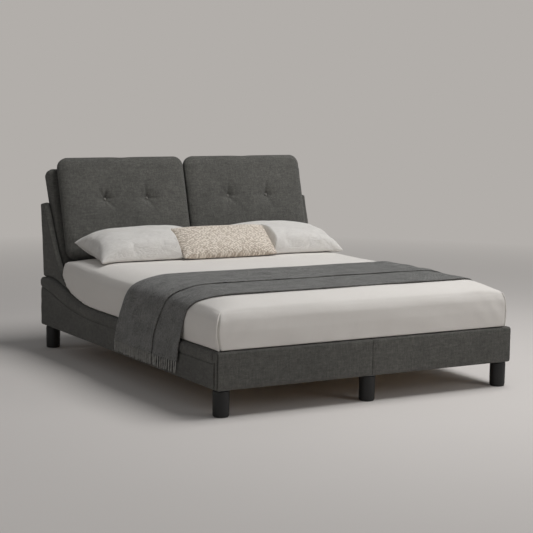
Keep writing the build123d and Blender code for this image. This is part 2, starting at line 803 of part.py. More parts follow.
with BuildPart() as fitted_sheet:
    with BuildSketch(Plane.XY.offset(mattress_bottom + 10)):
        with Locations((0, mattress_mid_y)):
            outline = Rectangle(mattress_width + 2 * sheet_thickness, mattress_length + 2 * sheet_thickness)
        chamfer(outline.vertices(), corner_cut + sheet_thickness / 2)
    extrude(amount=mattress_thickness - 10 + sheet_thickness)
    chamfer(fitted_sheet.faces().sort_by(Axis.Z)[-1].edges(), edge_cut + sheet_thickness / 2)
    add(mattress.part, mode=Mode.SUBTRACT)
save(fitted_sheet.part, "fitted_sheet")

# ---------------------------------------------------------------- folded throw across the bed
throw_inner = mattress_width / 2 + sheet_thickness + throw_clearance
throw_outer = roll_outer + throw_clearance + 2
throw_under = sheet_top + throw_clearance
throw_outline = [
    (along(220), throw_under + throw_thickness),
    (along(1030), throw_under + throw_thickness),
    (along(1060), 520),
    (along(1140), throw_hem),
    (along(385), throw_hem),
    (along(290), 520),
]


def throw_path(grow):
    """Throw seen from the foot: from one hem, over the bed, down to the other hem."""
    points = []
    for side in (-1, 1):
        half = [
            (side * (throw_outer + grow), throw_hem),
            (side * (throw_outer + grow), 372.0),
            (side * (throw_inner + grow), 470.0),
            (side * (throw_inner + grow), sheet_top - 22.0 + grow / 2),
            (side * (throw_inner - 24.6 + grow / 2), throw_under + grow),
        ]
        points += half if side < 0 else half[::-1]
    return points


with BuildPart() as throw_blanket:
    with BuildSketch(Plane.XZ.offset(-along(1200))):
        with BuildLine():
            Polyline(*(throw_path(throw_thickness) + throw_path(0.0)[::-1]), close=True)
        make_face()
    extrude(amount=1050)
    with BuildSketch(Plane.YZ.offset(-half_width - 60)):
        with BuildLine():
            Polyline(*throw_outline, close=True)
        make_face()
    extrude(amount=frame_width + 120, mode=Mode.INTERSECT)
save(throw_blanket.part, "throw_blanket")

with BuildPart() as throw_fringe:
    with BuildSketch(Plane.XY.offset(throw_hem - fringe_length)):
        fringe_x = throw_outer + throw_thickness / 2
        with Locations((-fringe_x, along(762.5)), (fringe_x, along(762.5))):
            Rectangle(throw_thickness - 4, 750)
    extrude(amount=fringe_length)
save(throw_fringe.part, "throw_fringe")

# ---------------------------------------------------------------- lumbar cushion and pillows
# Each is a plain form: a block that slopes from a thin seam band to a smaller face on each side.
slope_share = 0.44
slope_inset = 0.24


def tilted_plane(x, y, z, tilt):
    """Plane of a cushion lying back by the tilt angle towards the head."""
    angle = math.radians(tilt)
    return Plane(origin=(x, y, z), x_dir=(1, 0, 0), z_dir=(0, -math.sin(angle), math.cos(angle)))


lumbar_plane = tilted_plane(20, along(1699), 697, lumbar_tilt)
pillow_x = pillow_size[0] / 2 + 12
soft_goods = [
    ("lumbar_cushion", lumbar_plane, lumbar_size),
    ("pillow_left", tilted_plane(-pillow_x, along(1836), 692, pillow_tilt), pillow_size),
    ("pillow_right", tilted_plane(pillow_x, along(1836), 692, pillow_tilt), pillow_size),
]
for label, plane, size in soft_goods:
    with BuildPart() as soft_form:
        with BuildSketch(plane.offset(-size[2] / 2)):
            Rectangle(size[0], size[1])
        extrude(amount=size[2])
        for which in (0, -1):
            flat = soft_form.faces().sort_by(Axis(plane.origin, plane.z_dir))[which]
            chamfer(flat.edges(), slope_inset * size[1], slope_share * size[2], reference=flat)
        if label != "lumbar_cushion":
            with BuildSketch(lumbar_plane.offset(-lumbar_size[2] / 2 - 4)):
                Rectangle(lumbar_size[0] + 16, lumbar_size[1] + 60)
            extrude(amount=200, mode=Mode.SUBTRACT)
            with BuildSketch(Plane.XY.offset(sheet_top + 2)):
                with Locations((plane.origin.X, plane.origin.Y)):
                    Rectangle(size[0] + 100, size[1] + 100)
            extrude(amount=-200, mode=Mode.SUBTRACT)
    save(soft_form.part, label)
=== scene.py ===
"""Upholstered double bed with a leaning two-cushion headboard, wings, a throw, pillows and a lumbar
cushion."""

import math

import bmesh
import bpy
import numpy as np
from mathutils import Matrix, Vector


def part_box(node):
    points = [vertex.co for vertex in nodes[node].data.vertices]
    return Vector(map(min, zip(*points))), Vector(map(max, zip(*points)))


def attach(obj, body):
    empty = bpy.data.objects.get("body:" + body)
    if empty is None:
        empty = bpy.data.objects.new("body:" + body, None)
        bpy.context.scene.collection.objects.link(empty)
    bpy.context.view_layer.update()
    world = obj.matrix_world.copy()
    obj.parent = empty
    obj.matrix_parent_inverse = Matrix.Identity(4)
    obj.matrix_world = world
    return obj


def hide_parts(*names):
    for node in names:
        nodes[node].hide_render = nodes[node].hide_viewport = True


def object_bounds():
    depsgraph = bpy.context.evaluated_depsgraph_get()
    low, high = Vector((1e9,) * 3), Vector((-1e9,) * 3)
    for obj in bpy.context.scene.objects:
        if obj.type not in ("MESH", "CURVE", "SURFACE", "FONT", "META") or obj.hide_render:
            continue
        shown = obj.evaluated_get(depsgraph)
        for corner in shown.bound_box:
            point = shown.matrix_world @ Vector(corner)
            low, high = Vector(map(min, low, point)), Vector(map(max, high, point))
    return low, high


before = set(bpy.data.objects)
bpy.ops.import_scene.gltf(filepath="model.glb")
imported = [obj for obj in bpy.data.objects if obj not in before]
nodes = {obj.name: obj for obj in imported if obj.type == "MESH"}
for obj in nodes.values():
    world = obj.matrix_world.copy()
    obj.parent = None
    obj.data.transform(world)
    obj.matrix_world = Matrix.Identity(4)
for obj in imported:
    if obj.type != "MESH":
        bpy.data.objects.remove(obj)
cad_box = [[float(v) for v in corner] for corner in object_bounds()]
foot = cad_box[0][1]

bpy.context.scene.view_settings.view_transform = "Standard"


# ---------------------------------------------------------------- camera
# The bed is seen from its foot, from the left and a little above the pillows, through a
# long lens. Yaw turns from the bed's length, pitch looks down, roll tips the view.
yaw, pitch, roll = math.radians(-30.515), math.radians(7.094), math.radians(0.885)
look = np.array([-math.sin(yaw) * math.cos(pitch), math.cos(yaw) * math.cos(pitch), -math.sin(pitch)])
level = np.cross(look, [0.0, 0.0, 1.0])
level /= np.linalg.norm(level)
upright = np.cross(level, look)
across = math.cos(roll) * level + math.sin(roll) * upright
above = math.cos(roll) * upright - math.sin(roll) * level
lens = bpy.data.cameras.new("camera")
lens.lens, lens.sensor_width, lens.clip_end = 101.566, 36.0, 200.0
camera = bpy.data.objects.new("camera", lens)
bpy.context.scene.collection.objects.link(camera)
bpy.context.scene.camera = camera
place = np.eye(4)
place[:3, 0], place[:3, 1], place[:3, 2] = across, above, -look
place[:3, 3] = -4.52977, foot - 6.548531, 1.712929
camera.matrix_world = Matrix(place.tolist())


# ---------------------------------------------------------------- legs
# Seven turned beech legs: five thick ones under the corners and the foot's middle, and two
# thin ones under the centre beam. Each is stained black with a satin lacquer.
def tone(red, green, blue):
    """A colour as it looks, from 0 to 255, made linear for the shader."""
    return [((value / 255 + 0.055) / 1.055) ** 2.4 for value in (red, green, blue)] + [1.0]


class Wire:
    """A shader value: arithmetic on it adds the Math nodes that work it out."""

    def __init__(self, finish, socket):
        self.finish, self.socket = finish, socket

    def maths(self, operation, *others):
        return self.finish.node("ShaderNodeMath", {"operation": operation}, self, *others)

    def held(self):
        """The value held between 0 and 1."""
        return self.maths("MAXIMUM", 0.0).maths("MINIMUM", 1.0)

    def __add__(self, other):
        return self.maths("ADD", other)

    def __sub__(self, other):
        return self.maths("SUBTRACT", other)

    def __rsub__(self, other):
        return self.finish.node("ShaderNodeMath", {"operation": "SUBTRACT"}, other, self)

    def __mul__(self, other):
        return self.maths("MULTIPLY", other)

    def __truediv__(self, other):
        return self.maths("DIVIDE", other)

    __radd__ = __add__
    __rmul__ = __mul__


class Finish:
    """A material in the making, with one method that adds any node to it."""

    def __init__(self, name, **constants):
        self.material = bpy.data.materials.new(name)
        self.material.use_nodes = True
        self.tree = self.material.node_tree
        self.surface = next(node for node in self.tree.nodes if node.type == "BSDF_PRINCIPLED")
        for socket, value in constants.items():
            self.surface.inputs[socket.replace("_", " ")].default_value = value

    def put(self, socket, value):
        """Links a Wire to a socket, or sets the socket to a number, a vector or a colour."""
        if isinstance(value, Wire):
            self.tree.links.new(value.socket, socket)
        else:
            socket.default_value = value

    def node(self, kind, settings=None, *values, out=0, **named):
        """Adds a node of a type: its settings first, then its sockets in their order or by identifier."""
        node = self.tree.nodes.new(kind)
        for key, value in (settings or {}).items():
            setattr(node, key, value)
        for socket, value in zip(node.inputs, values):
            self.put(socket, value)
        for socket in node.inputs:
            if socket.identifier.replace(" ", "_") in named:
                self.put(socket, named[socket.identifier.replace(" ", "_")])
        outlets = {socket.identifier: socket for socket in node.outputs}
        return Wire(self, node.outputs[out] if isinstance(out, int) else outlets[out])

    def spot(self, scale=(1, 1, 1), turn=(0, 0, 0), source="Object"):
        """Where a point of the piece is, scaled and turned for a pattern."""
        return self.node(
            "ShaderNodeMapping",
            {},
            self.node("ShaderNodeTexCoord", out=source),
            Rotation=turn,
            Scale=scale,
        )

    def noise(self, spot, scale, detail=2.0, roughness=0.5, distortion=0.0):
        """Cloudy noise from 0 to 1."""
        return self.node(
            "ShaderNodeTexNoise",
            {},
            Vector=spot,
            Scale=scale,
            Detail=detail,
            Roughness=roughness,
            Distortion=distortion,
        )

    def between(self, mask, first, second):
        """The first colour where the mask is 0 and the second where it is 1."""
        return self.node(
            "ShaderNodeMix",
            {"data_type": "RGBA"},
            Factor_Float=mask,
            A_Color=first,
            B_Color=second,
            out="Result_Color",
        )

    def wear(self, colour=None, roughness=None, height=None, depth=0.001, strength=1.0):
        """Sends what changes over the surface to the main shader."""
        if colour is not None:
            self.put(self.surface.inputs["Base Color"], colour)
        if roughness is not None:
            self.put(self.surface.inputs["Roughness"], roughness)
        if height is not None:
            bump = self.node("ShaderNodeBump", {}, Strength=strength, Distance=depth, Height=height)
            self.put(self.surface.inputs["Normal"], bump)
        return self


def timber(name, pale, deep, along, roughness=0.55, coat=0.0, ring=26.0):
    """Planed wood: rings are a sine of stretched noise, pores are fine noise drawn out along the grain."""
    finish = Finish(name, Coat_Weight=coat, Coat_Roughness=0.3)
    stretch = [1.0, 1.0, 1.0]
    stretch["XYZ".index(along)] = 0.07
    spot = finish.spot(stretch)
    rings = (finish.noise(spot, 9.0, 3.0, 0.45, 0.6) * ring).maths("SINE") * 0.5 + 0.5
    pores = finish.noise(spot, 420.0, 2.0, 0.6)
    cloud = finish.noise(finish.spot(), 5.0)
    mask = (rings * 0.45 + pores * 0.35 + cloud * 0.3) * 0.95
    finish.wear(
        finish.between(mask, pale, deep),
        pores * 0.18 + (roughness - 0.09),
        pores * 0.6 + rings * 0.25,
        0.0004,
        0.5,
    )
    return finish


def net(points, round_rows=False, round_columns=False):
    """Faces of a grid of points: each joins four neighbours, and a round grid joins its last line to its
    first."""
    numbers = np.arange(points.shape[0] * points.shape[1]).reshape(points.shape[:2])
    if round_rows:
        numbers = np.vstack([numbers, numbers[:1]])
    if round_columns:
        numbers = np.hstack([numbers, numbers[:, :1]])
    return np.stack(
        [numbers[:-1, :-1], numbers[1:, :-1], numbers[1:, 1:], numbers[:-1, 1:]], axis=-1
    ).reshape(-1, 4)


def form(name, grids, faces, finish, turn=True, flat=None):
    """One mesh object from grids of points and their faces, merged where they meet; flat gives each point's
    place on the cloth."""
    points = np.concatenate([grid.reshape(-1, 3) for grid in grids])
    starts = np.cumsum([0] + [grid.shape[0] * grid.shape[1] for grid in grids[:-1]])
    faces = np.concatenate([face + start for face, start in zip(faces, starts)])
    mesh = bpy.data.meshes.new(name)
    mesh.from_pydata(points.tolist(), [], faces.tolist())
    if flat is not None:
        layer = mesh.uv_layers.new(name="cloth")
        corners = np.zeros(len(mesh.loops), dtype=np.int32)
        mesh.loops.foreach_get("vertex_index", corners)
        spread = np.concatenate([part.reshape(-1, 2) for part in flat])
        layer.data.foreach_set("uv", spread[corners].astype(np.float32).ravel())
    work = bmesh.new()
    work.from_mesh(mesh)
    bmesh.ops.remove_doubles(work, verts=work.verts, dist=0.000002)
    bmesh.ops.dissolve_degenerate(work, edges=work.edges, dist=0.0000005)
    if turn:
        bmesh.ops.recalc_face_normals(work, faces=work.faces)
    work.to_mesh(mesh)
    work.free()
    mesh.shade_smooth()
    mesh.materials.append(finish.material)
    piece = bpy.data.objects.new(name, mesh)
    bpy.context.scene.collection.objects.link(piece)
    return piece


def stands_for(piece, node, body="bed_frame"):
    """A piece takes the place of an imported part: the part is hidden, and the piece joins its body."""
    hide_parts(node)
    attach(piece, body)


def rounded(corners, radii, steps=6, runs=8):
    """A line through corner points with each inner corner made an arc: a quarter turn eased by sines
    between its two tangent points."""
    corners = np.asarray(corners, dtype=float)
    radii = [0.0] + list(radii) + [0.0]
    line = []
    for i in range(len(corners)):
        before = corners[max(i - 1, 0)] - corners[i]
        after = corners[min(i + 1, len(corners) - 1)] - corners[i]
        if 0 < i < len(corners) - 1:
            enter = corners[i] + before / np.linalg.norm(before) * radii[i]
            leave = corners[i] + after / np.linalg.norm(after) * radii[i]
        else:
            enter = leave = corners[i]
        if line:
            t = np.linspace(0, 1, runs + 1)[1:, None]
            line.append(line[-1][-1] + (enter - line[-1][-1]) * t)
        else:
            line.append(enter[None])
        if 0 < i < len(corners) - 1:
            a = np.linspace(0, np.pi / 2, steps + 1)[1:, None]
            middle = enter + leave - corners[i]
            line.append(middle + (enter - middle) * np.cos(a) + (leave - middle) * np.sin(a))
    return np.concatenate(line)


def turned(line, centre, steps=40):
    """Points of a turned form: each (radius, height) of the line is carried round the upright axis."""
    angle = np.linspace(0, 2 * np.pi, steps, endpoint=False)[:, None]
    radius, height = np.asarray(line).T
    return np.stack(
        [
            centre[0] + radius * np.cos(angle),
            centre[1] + radius * np.sin(angle),
            centre[2] + height + 0 * angle,
        ],
        axis=-1,
    )


black_lacquer = timber("black_lacquer", tone(19, 18, 17), tone(10, 10, 9), "Z", 0.55, 0.08, 18.0)
for name in [
    "leg_foot_left",
    "leg_foot_centre",
    "leg_foot_right",
    "leg_head_left",
    "leg_head_right",
    "beam_leg_front",
    "beam_leg_rear",
]:
    low, high = (np.array(corner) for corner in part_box(name))
    middle, radius, height = (low + high) / 2, (high[0] - low[0]) / 2, high[2] - low[2]
    line = rounded(
        [
            (0.0, 0.0),
            (radius - 0.0025, 0.0),
            (radius - 0.001, 0.006),
            (radius, height * 0.4),
            (radius, height - 0.0045),
            (radius - 0.0035, height),
            (0.0, height),
        ],
        [0.003, 0.003, 0.01, 0.003, 0.001],
    )
    points = turned(line, (middle[0], middle[1], low[2]), 48)
    leg = form("turned_" + name, [points], [net(points, round_rows=True)], black_lacquer)
    stands_for(leg, name)


# ---------------------------------------------------------------- leg plates and glides
# A zinc-plated steel plate with a welded stud tops each leg, and a grey felt disc under it
# keeps the floor from scratches. The bolts of the frame are the same zinc-plated steel.
def dress(finish, *names, edge=0.001, steps=2):
    """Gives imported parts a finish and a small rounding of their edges."""
    for name in names:
        node = nodes[name]
        if not node.material_slots:
            node.data.materials.append(finish.material)
        for slot in node.material_slots:
            slot.material = finish.material
        weld = node.modifiers.new("weld", "WELD")
        weld.merge_threshold = 0.00001
        bevel = node.modifiers.new("edge", "BEVEL")
        bevel.width, bevel.segments = edge, steps
        bevel.limit_method, bevel.angle_limit = "ANGLE", math.radians(32)
        bevel.harden_normals = False


zinc = Finish("zinc_steel", Metallic=1.0)
spot = zinc.spot()
spangle = zinc.node("ShaderNodeTexVoronoi", {}, Vector=spot, Scale=160.0)
cloud = zinc.noise(spot, 34.0, 3.0)
zinc.wear(
    zinc.between(cloud * 0.6 + spangle * 0.3, tone(196, 199, 201), tone(150, 152, 154)),
    cloud * 0.22 + 0.26, spangle * 0.5 + cloud * 0.5, 0.0002, 0.35,
)
dress(zinc, "leg_plates", "frame_bolts", "headboard_bolts", "cushion_bolts", edge=0.0005)

felt = Finish("glide_felt", Sheen_Weight=0.3)
spot = felt.spot()
fluff = felt.noise(spot, 900.0, 4.0, 0.7)
felt.wear(felt.between(fluff, tone(74, 73, 71), tone(118, 116, 112)), fluff * 0.1 + 0.88, fluff, 0.0008, 0.9)
dress(felt, "leg_glides", edge=0.0006)


# ---------------------------------------------------------------- frame boards and blocks
# Side, foot and rear boards are sawn pine planks; beech blocks stiffen the corners and the
# foot's joint. A pine cross rail and a laminated centre beam carry the slats' middle.
pine_across = timber("pine_across", tone(222, 191, 146), tone(188, 146, 98), "X")
pine_along = timber("pine_along", tone(222, 191, 146), tone(188, 146, 98), "Y")
pine_upright = timber("pine_upright", tone(220, 188, 143), tone(186, 143, 95), "Z")
beech_blocks = timber("beech_blocks", tone(206, 165, 124), tone(176, 130, 90), "Z", 0.5, 0.0, 14.0)
dress(pine_across, "foot_board_left", "foot_board_right", "rear_board", "head_cross_rail")
dress(
    pine_along,
    "side_board_left",
    "side_board_right",
    "slat_ledger_left",
    "slat_ledger_right",
    "centre_beam",
)
dress(beech_blocks, "corner_blocks", "foot_splice_block", "beam_rest_block")


# ---------------------------------------------------------------- foot covers
# Two padded halves wrap the footboard and meet in a sewn seam at its middle. Grey melange
# cloth over foam runs from under the board, up the front, over the top and down inside.
def weave(finish, spot, pitch):
    """Height of a plain weave on any side of a piece: over the three pairs of axes, one thread's sine times
    the other's."""
    split = finish.node("ShaderNodeSeparateXYZ", {}, spot)
    axes = [split] + [Wire(finish, split.socket.node.outputs[i]) for i in (1, 2)]
    x, y, z = [(axis * (math.pi / pitch)).maths("SINE") for axis in axes]
    return x * y + y * z + z * x


def melange(name, deep, middle, pale, pitch=0.0016):
    """Upholstery cloth: threads of three greys, thick and thin yarns drawn out both ways, a plain weave and
    soft clouding."""
    finish = Finish(name, Sheen_Weight=0.12, Sheen_Roughness=0.5, Specular_IOR_Level=0.2)
    spot = finish.spot()
    threads = weave(finish, spot, pitch)
    fleck = finish.noise(spot, 480.0, 3.0, 0.7)
    slubs = (
        finish.noise(finish.spot((1, 1, 6)), 70.0, 3.0, 0.65) * 0.5
        + finish.noise(finish.spot((6, 6, 1)), 60.0, 3.0, 0.65) * 0.5
    )
    yarns = (
        finish.noise(finish.spot((1, 1, 4)), 24.0, 3.0, 0.7) * 0.5
        + finish.noise(finish.spot((5, 5, 1)), 20.0, 3.0, 0.7) * 0.5
    )
    cloud = finish.noise(spot, 3.2, 3.0)
    mask = (
        fleck * 0.8 + slubs * 1.0 + yarns * 1.3 + threads * 0.10 + cloud * 0.35 - 1.225
    ).held()
    colour = finish.between((mask * 2.0).maths("MINIMUM", 1.0), deep, middle)
    colour = finish.between((mask * 2.0 - 1.0).maths("MAXIMUM", 0.0), colour, pale)
    finish.wear(
        colour, fleck * 0.12 + 0.84, threads * 0.5 + fleck * 0.7 + slubs * 0.9 + yarns * 0.8, 0.0009, 0.8
    )
    return finish


def lined(outer, inner):
    """Grids and faces of a pad: its outer side, its inner side and the strips that join their edges."""
    rows, columns = outer.shape[:2]
    front = np.arange(rows * columns).reshape(rows, columns)
    back = front + rows * columns
    pairs = [
        (front[0], back[0]), (back[-1], front[-1]), (back[:, 0], front[:, 0]), (front[:, -1], back[:, -1])
    ]
    rims = [np.stack([a[:-1], a[1:], b[1:], b[:-1]], axis=-1) for a, b in pairs]
    both = np.concatenate([outer, inner])
    return [both], [np.concatenate([net(outer), net(inner)[:, ::-1] + rows * columns] + rims)]


upholstery = melange("upholstery", tone(58, 58, 55), tone(90, 89, 85), tone(124, 122, 116))
foot_top, foot_low, pad_end, board_end = 0.341, 0.142, 0.950, 0.938
pad_back, flap_low, board_back = 0.050, 0.285, 0.037
board_face, board_rear, board_foot, board_crown = 0.0118, 0.0372, 0.1458, 0.3312
heart_in, end_round = 0.025, 0.012
seam_steps, face_steps = 26, 70
section = rounded(
    [(pad_back, flap_low), (pad_back, foot_top), (0.0, foot_top), (0.0, foot_low), (board_back, foot_low)],
    [0.010, 0.013, 0.009], 8, 14,
)
board_line = rounded(
    [
        (board_rear, flap_low),
        (board_rear, board_crown),
        (board_face, board_crown),
        (board_face, board_foot),
        (board_back, board_foot),
    ],
    [0.0005] * 3, 8, 14,
)
heart_high = np.clip(section[:, 1], foot_low + heart_in, foot_top - heart_in)
heart = np.stack([np.full(len(section), heart_in), heart_high], axis=-1)
turn = np.linspace(0, np.pi / 2, 28)
sewn = np.exp(-(((turn - 0.75) / 0.13) ** 2))
reach = np.concatenate(
    [
        np.linspace(0, 0.03, seam_steps),
        np.linspace(0.03, pad_end - end_round, face_steps)[1:],
        (pad_end - end_round + end_round * np.sin(turn) - 0.0040 * sewn)[1:],
        [pad_end] * 5,
    ]
)
rounding = (0.48 * (1 - np.cos(turn)) + 0.15 * sewn)[1:]
shrink = np.concatenate([np.zeros(seam_steps + face_steps - 1), rounding, [0.6, 0.75, 0.88, 0.95, 1.0]])
seam = 0.34 * np.exp(-reach / 0.0042) + 0.06 * np.exp(-(((reach - 0.010) / 0.0020) ** 2))
for name, side in (("left", -1), ("right", 1)):
    at_back = np.clip((section[:, 0] - 0.030) / 0.020, 0, 1)[None] * (shrink[:, None] < 0.55)
    line = (
        section[None]
        + (heart - section)[None] * shrink[:, None, None]
        * np.stack([1 - at_back, 1 + 0 * at_back], axis=-1)
    )
    inner_line = board_line[None] + (heart - board_line)[None] * shrink[:, None, None]
    out_to = reach[:, None] + (pad_end - reach[:, None]) * at_back * (shrink[:, None] > 0)
    line = line + (board_line - section)[None] * (seam * (shrink == 0))[:, None, None]
    swell = 0.0016 * np.sin(
        np.clip((line[..., 1] - foot_low) / (foot_top - foot_low), 0, 1) * np.pi
    ) * (line[..., 0] < 0.004)
    ripple = 0.0006 * np.sin(reach[:, None] * 61 + 3 * side) * np.sin(line[..., 1] * 47 + reach[:, None] * 9)
    outer = np.stack(
        [side * out_to, foot + line[..., 0] - (swell + ripple) * (line[..., 0] < 0.004), line[..., 1]],
        axis=-1,
    )
    inner = np.stack(
        [
            side * np.minimum(reach, board_end)[:, None] + 0 * line[..., 0],
            foot + inner_line[..., 0],
            inner_line[..., 1],
        ],
        axis=-1,
    )
    grids, faces = lined(outer, inner)
    cover = form("foot_pad_" + name, grids, faces, upholstery)
    stands_for(cover, "foot_cover_" + name)


# ---------------------------------------------------------------- side covers
# Each side board is wrapped like the footboard up to a seam that runs level and then climbs
# to the head. The cloth turns in at the seam, under the roll, and is stapled beneath.
def smooth_line(points, start, end, count):
    """Points along a clamped cubic spline: it passes each point and has the given directions at its ends;
    its slopes come from one linear system in the distances between points."""
    points = np.asarray(points, dtype=float)
    gap = np.linalg.norm(np.diff(points, axis=0), axis=1)
    rise = np.diff(points, axis=0) / gap[:, None]
    size = len(points)
    matrix = np.eye(size)
    right = np.zeros((size, 2))
    right[0] = np.asarray(start) / np.linalg.norm(start)
    right[-1] = np.asarray(end) / np.linalg.norm(end)
    inside = np.arange(1, size - 1)
    matrix[inside, inside - 1] = gap[1:]
    matrix[inside, inside] = 2 * (gap[:-1] + gap[1:])
    matrix[inside, inside + 1] = gap[:-1]
    right[inside] = 3 * (gap[1:, None] * rise[:-1] + gap[:-1, None] * rise[1:])
    slope = np.linalg.solve(matrix, right)
    place = np.concatenate([[0], np.cumsum(gap)])
    at = np.linspace(0, place[-1], count)
    span = np.clip(np.searchsorted(place, at, side="right") - 1, 0, size - 2)
    t = ((at - place[span]) / gap[span])[:, None]
    h = gap[span][:, None]
    return (
        (2 * t**3 - 3 * t**2 + 1) * points[span] + (t**3 - 2 * t**2 + t) * h * slope[span]
        + (3 * t**2 - 2 * t**3) * points[span + 1] + (t**3 - t**2) * h * slope[span + 1]
    )


turn = np.linspace(0, np.pi / 2, 8)
frame_end, board_inner, board_outer = 2.350, 0.917, 0.935
crest_line = smooth_line(
    [(1.53, 0.341), (1.869, 0.383), (2.124, 0.444), (2.240, 0.454), (2.350, 0.446)], (1, 0), (1, 0), 200
)
seam_line = smooth_line([(1.50, 0.277), (1.803, 0.293), (2.108, 0.346), (2.350, 0.381)], (1, 0), (1, 0), 200)


def crest(y):
    """Height of the roll's top at a distance from the foot."""
    return np.interp(y, crest_line[:, 0], crest_line[:, 1])


def seam_height(y):
    """Height of the seam under the roll at a distance from the foot."""
    return np.interp(y, seam_line[:, 0], seam_line[:, 1])


cover_start, cloth_edge, flank_low = 0.0378, 0.010, foot_low + 0.010
lap_end, lap_height = 0.0497, 0.2842
cloth_gap, cloth_thick, end_thick = 0.0003, 0.0038, 0.0118
reach = np.concatenate(
    [
        cover_start + np.linspace(0, 0.0117, 10),
        pad_back + np.linspace(0, 0.02, 12),
        np.linspace(0.07, frame_end - cloth_edge, 170)[1:],
        frame_end - cloth_edge + cloth_edge * np.sin(turn)[1:],
        [frame_end] * 4,
    ]
)
rounding, closing = 0.30 * (1 - np.cos(turn))[1:], [0.5, 0.7, 0.9, 1.0]
shrink = np.concatenate([np.zeros(len(reach) - len(rounding) - len(closing)), rounding, closing])
under = rounded([(board_inner + 0.0005, 0.0), (pad_end, 0.0), (pad_end, 1.0)], [0.010], 8, 16)[:25]
for name, side in (("left", -1), ("right", 1)):
    height = np.where(reach < lap_end, lap_height, seam_height(reach))
    rise = flank_low + (height[:, None] - 0.0008 - flank_low) * np.linspace(0, 1, 60)[None, 1:]
    tuck = 0.0042 * np.clip(1 - (height[:, None] - rise) / 0.012, 0, 1) ** 2
    swell = 0.0012 * np.sin(np.clip((rise - flank_low) / (height[:, None] - flank_low), 0, 1) * np.pi)
    drag = 0.0007 * np.sin(reach[:, None] * 23 + 1.3) * np.sin(rise * 61 - reach[:, None] * 7)
    seam = 0.0011 * np.exp(-(reach[:, None] - cover_start) / 0.0025)
    flank_x = pad_end - tuck + swell + drag - seam
    low_x = np.repeat(under[None, :, 0], len(reach), axis=0)
    low_z = np.minimum(foot_low + np.repeat(under[None, :, 1], len(reach), axis=0), flank_low)
    x = np.concatenate([low_x, flank_x], axis=1)
    z = np.concatenate([low_z, rise], axis=1)
    lining, hem = board_outer + cloth_gap, foot_low + cloth_thick
    x_in = np.concatenate([np.minimum(low_x, lining), np.full_like(flank_x, lining)], axis=1)
    z_in = np.concatenate([np.full_like(low_z, hem), np.maximum(rise, hem)], axis=1)
    x = x + (board_inner - x) * shrink[:, None]
    x_in = x_in + (board_inner - x_in) * shrink[:, None]
    y = reach[:, None] + 0 * x
    y_in = np.minimum(reach, frame_end - end_thick)[:, None] + 0 * x
    outer = np.stack([side * x, foot + y, z], axis=-1)
    inner = np.stack([side * x_in, foot + y_in, z_in], axis=-1)
    grids, faces = lined(outer, inner)
    cover = form("side_pad_" + name, grids, faces, upholstery)
    stands_for(cover, "side_cover_" + name)


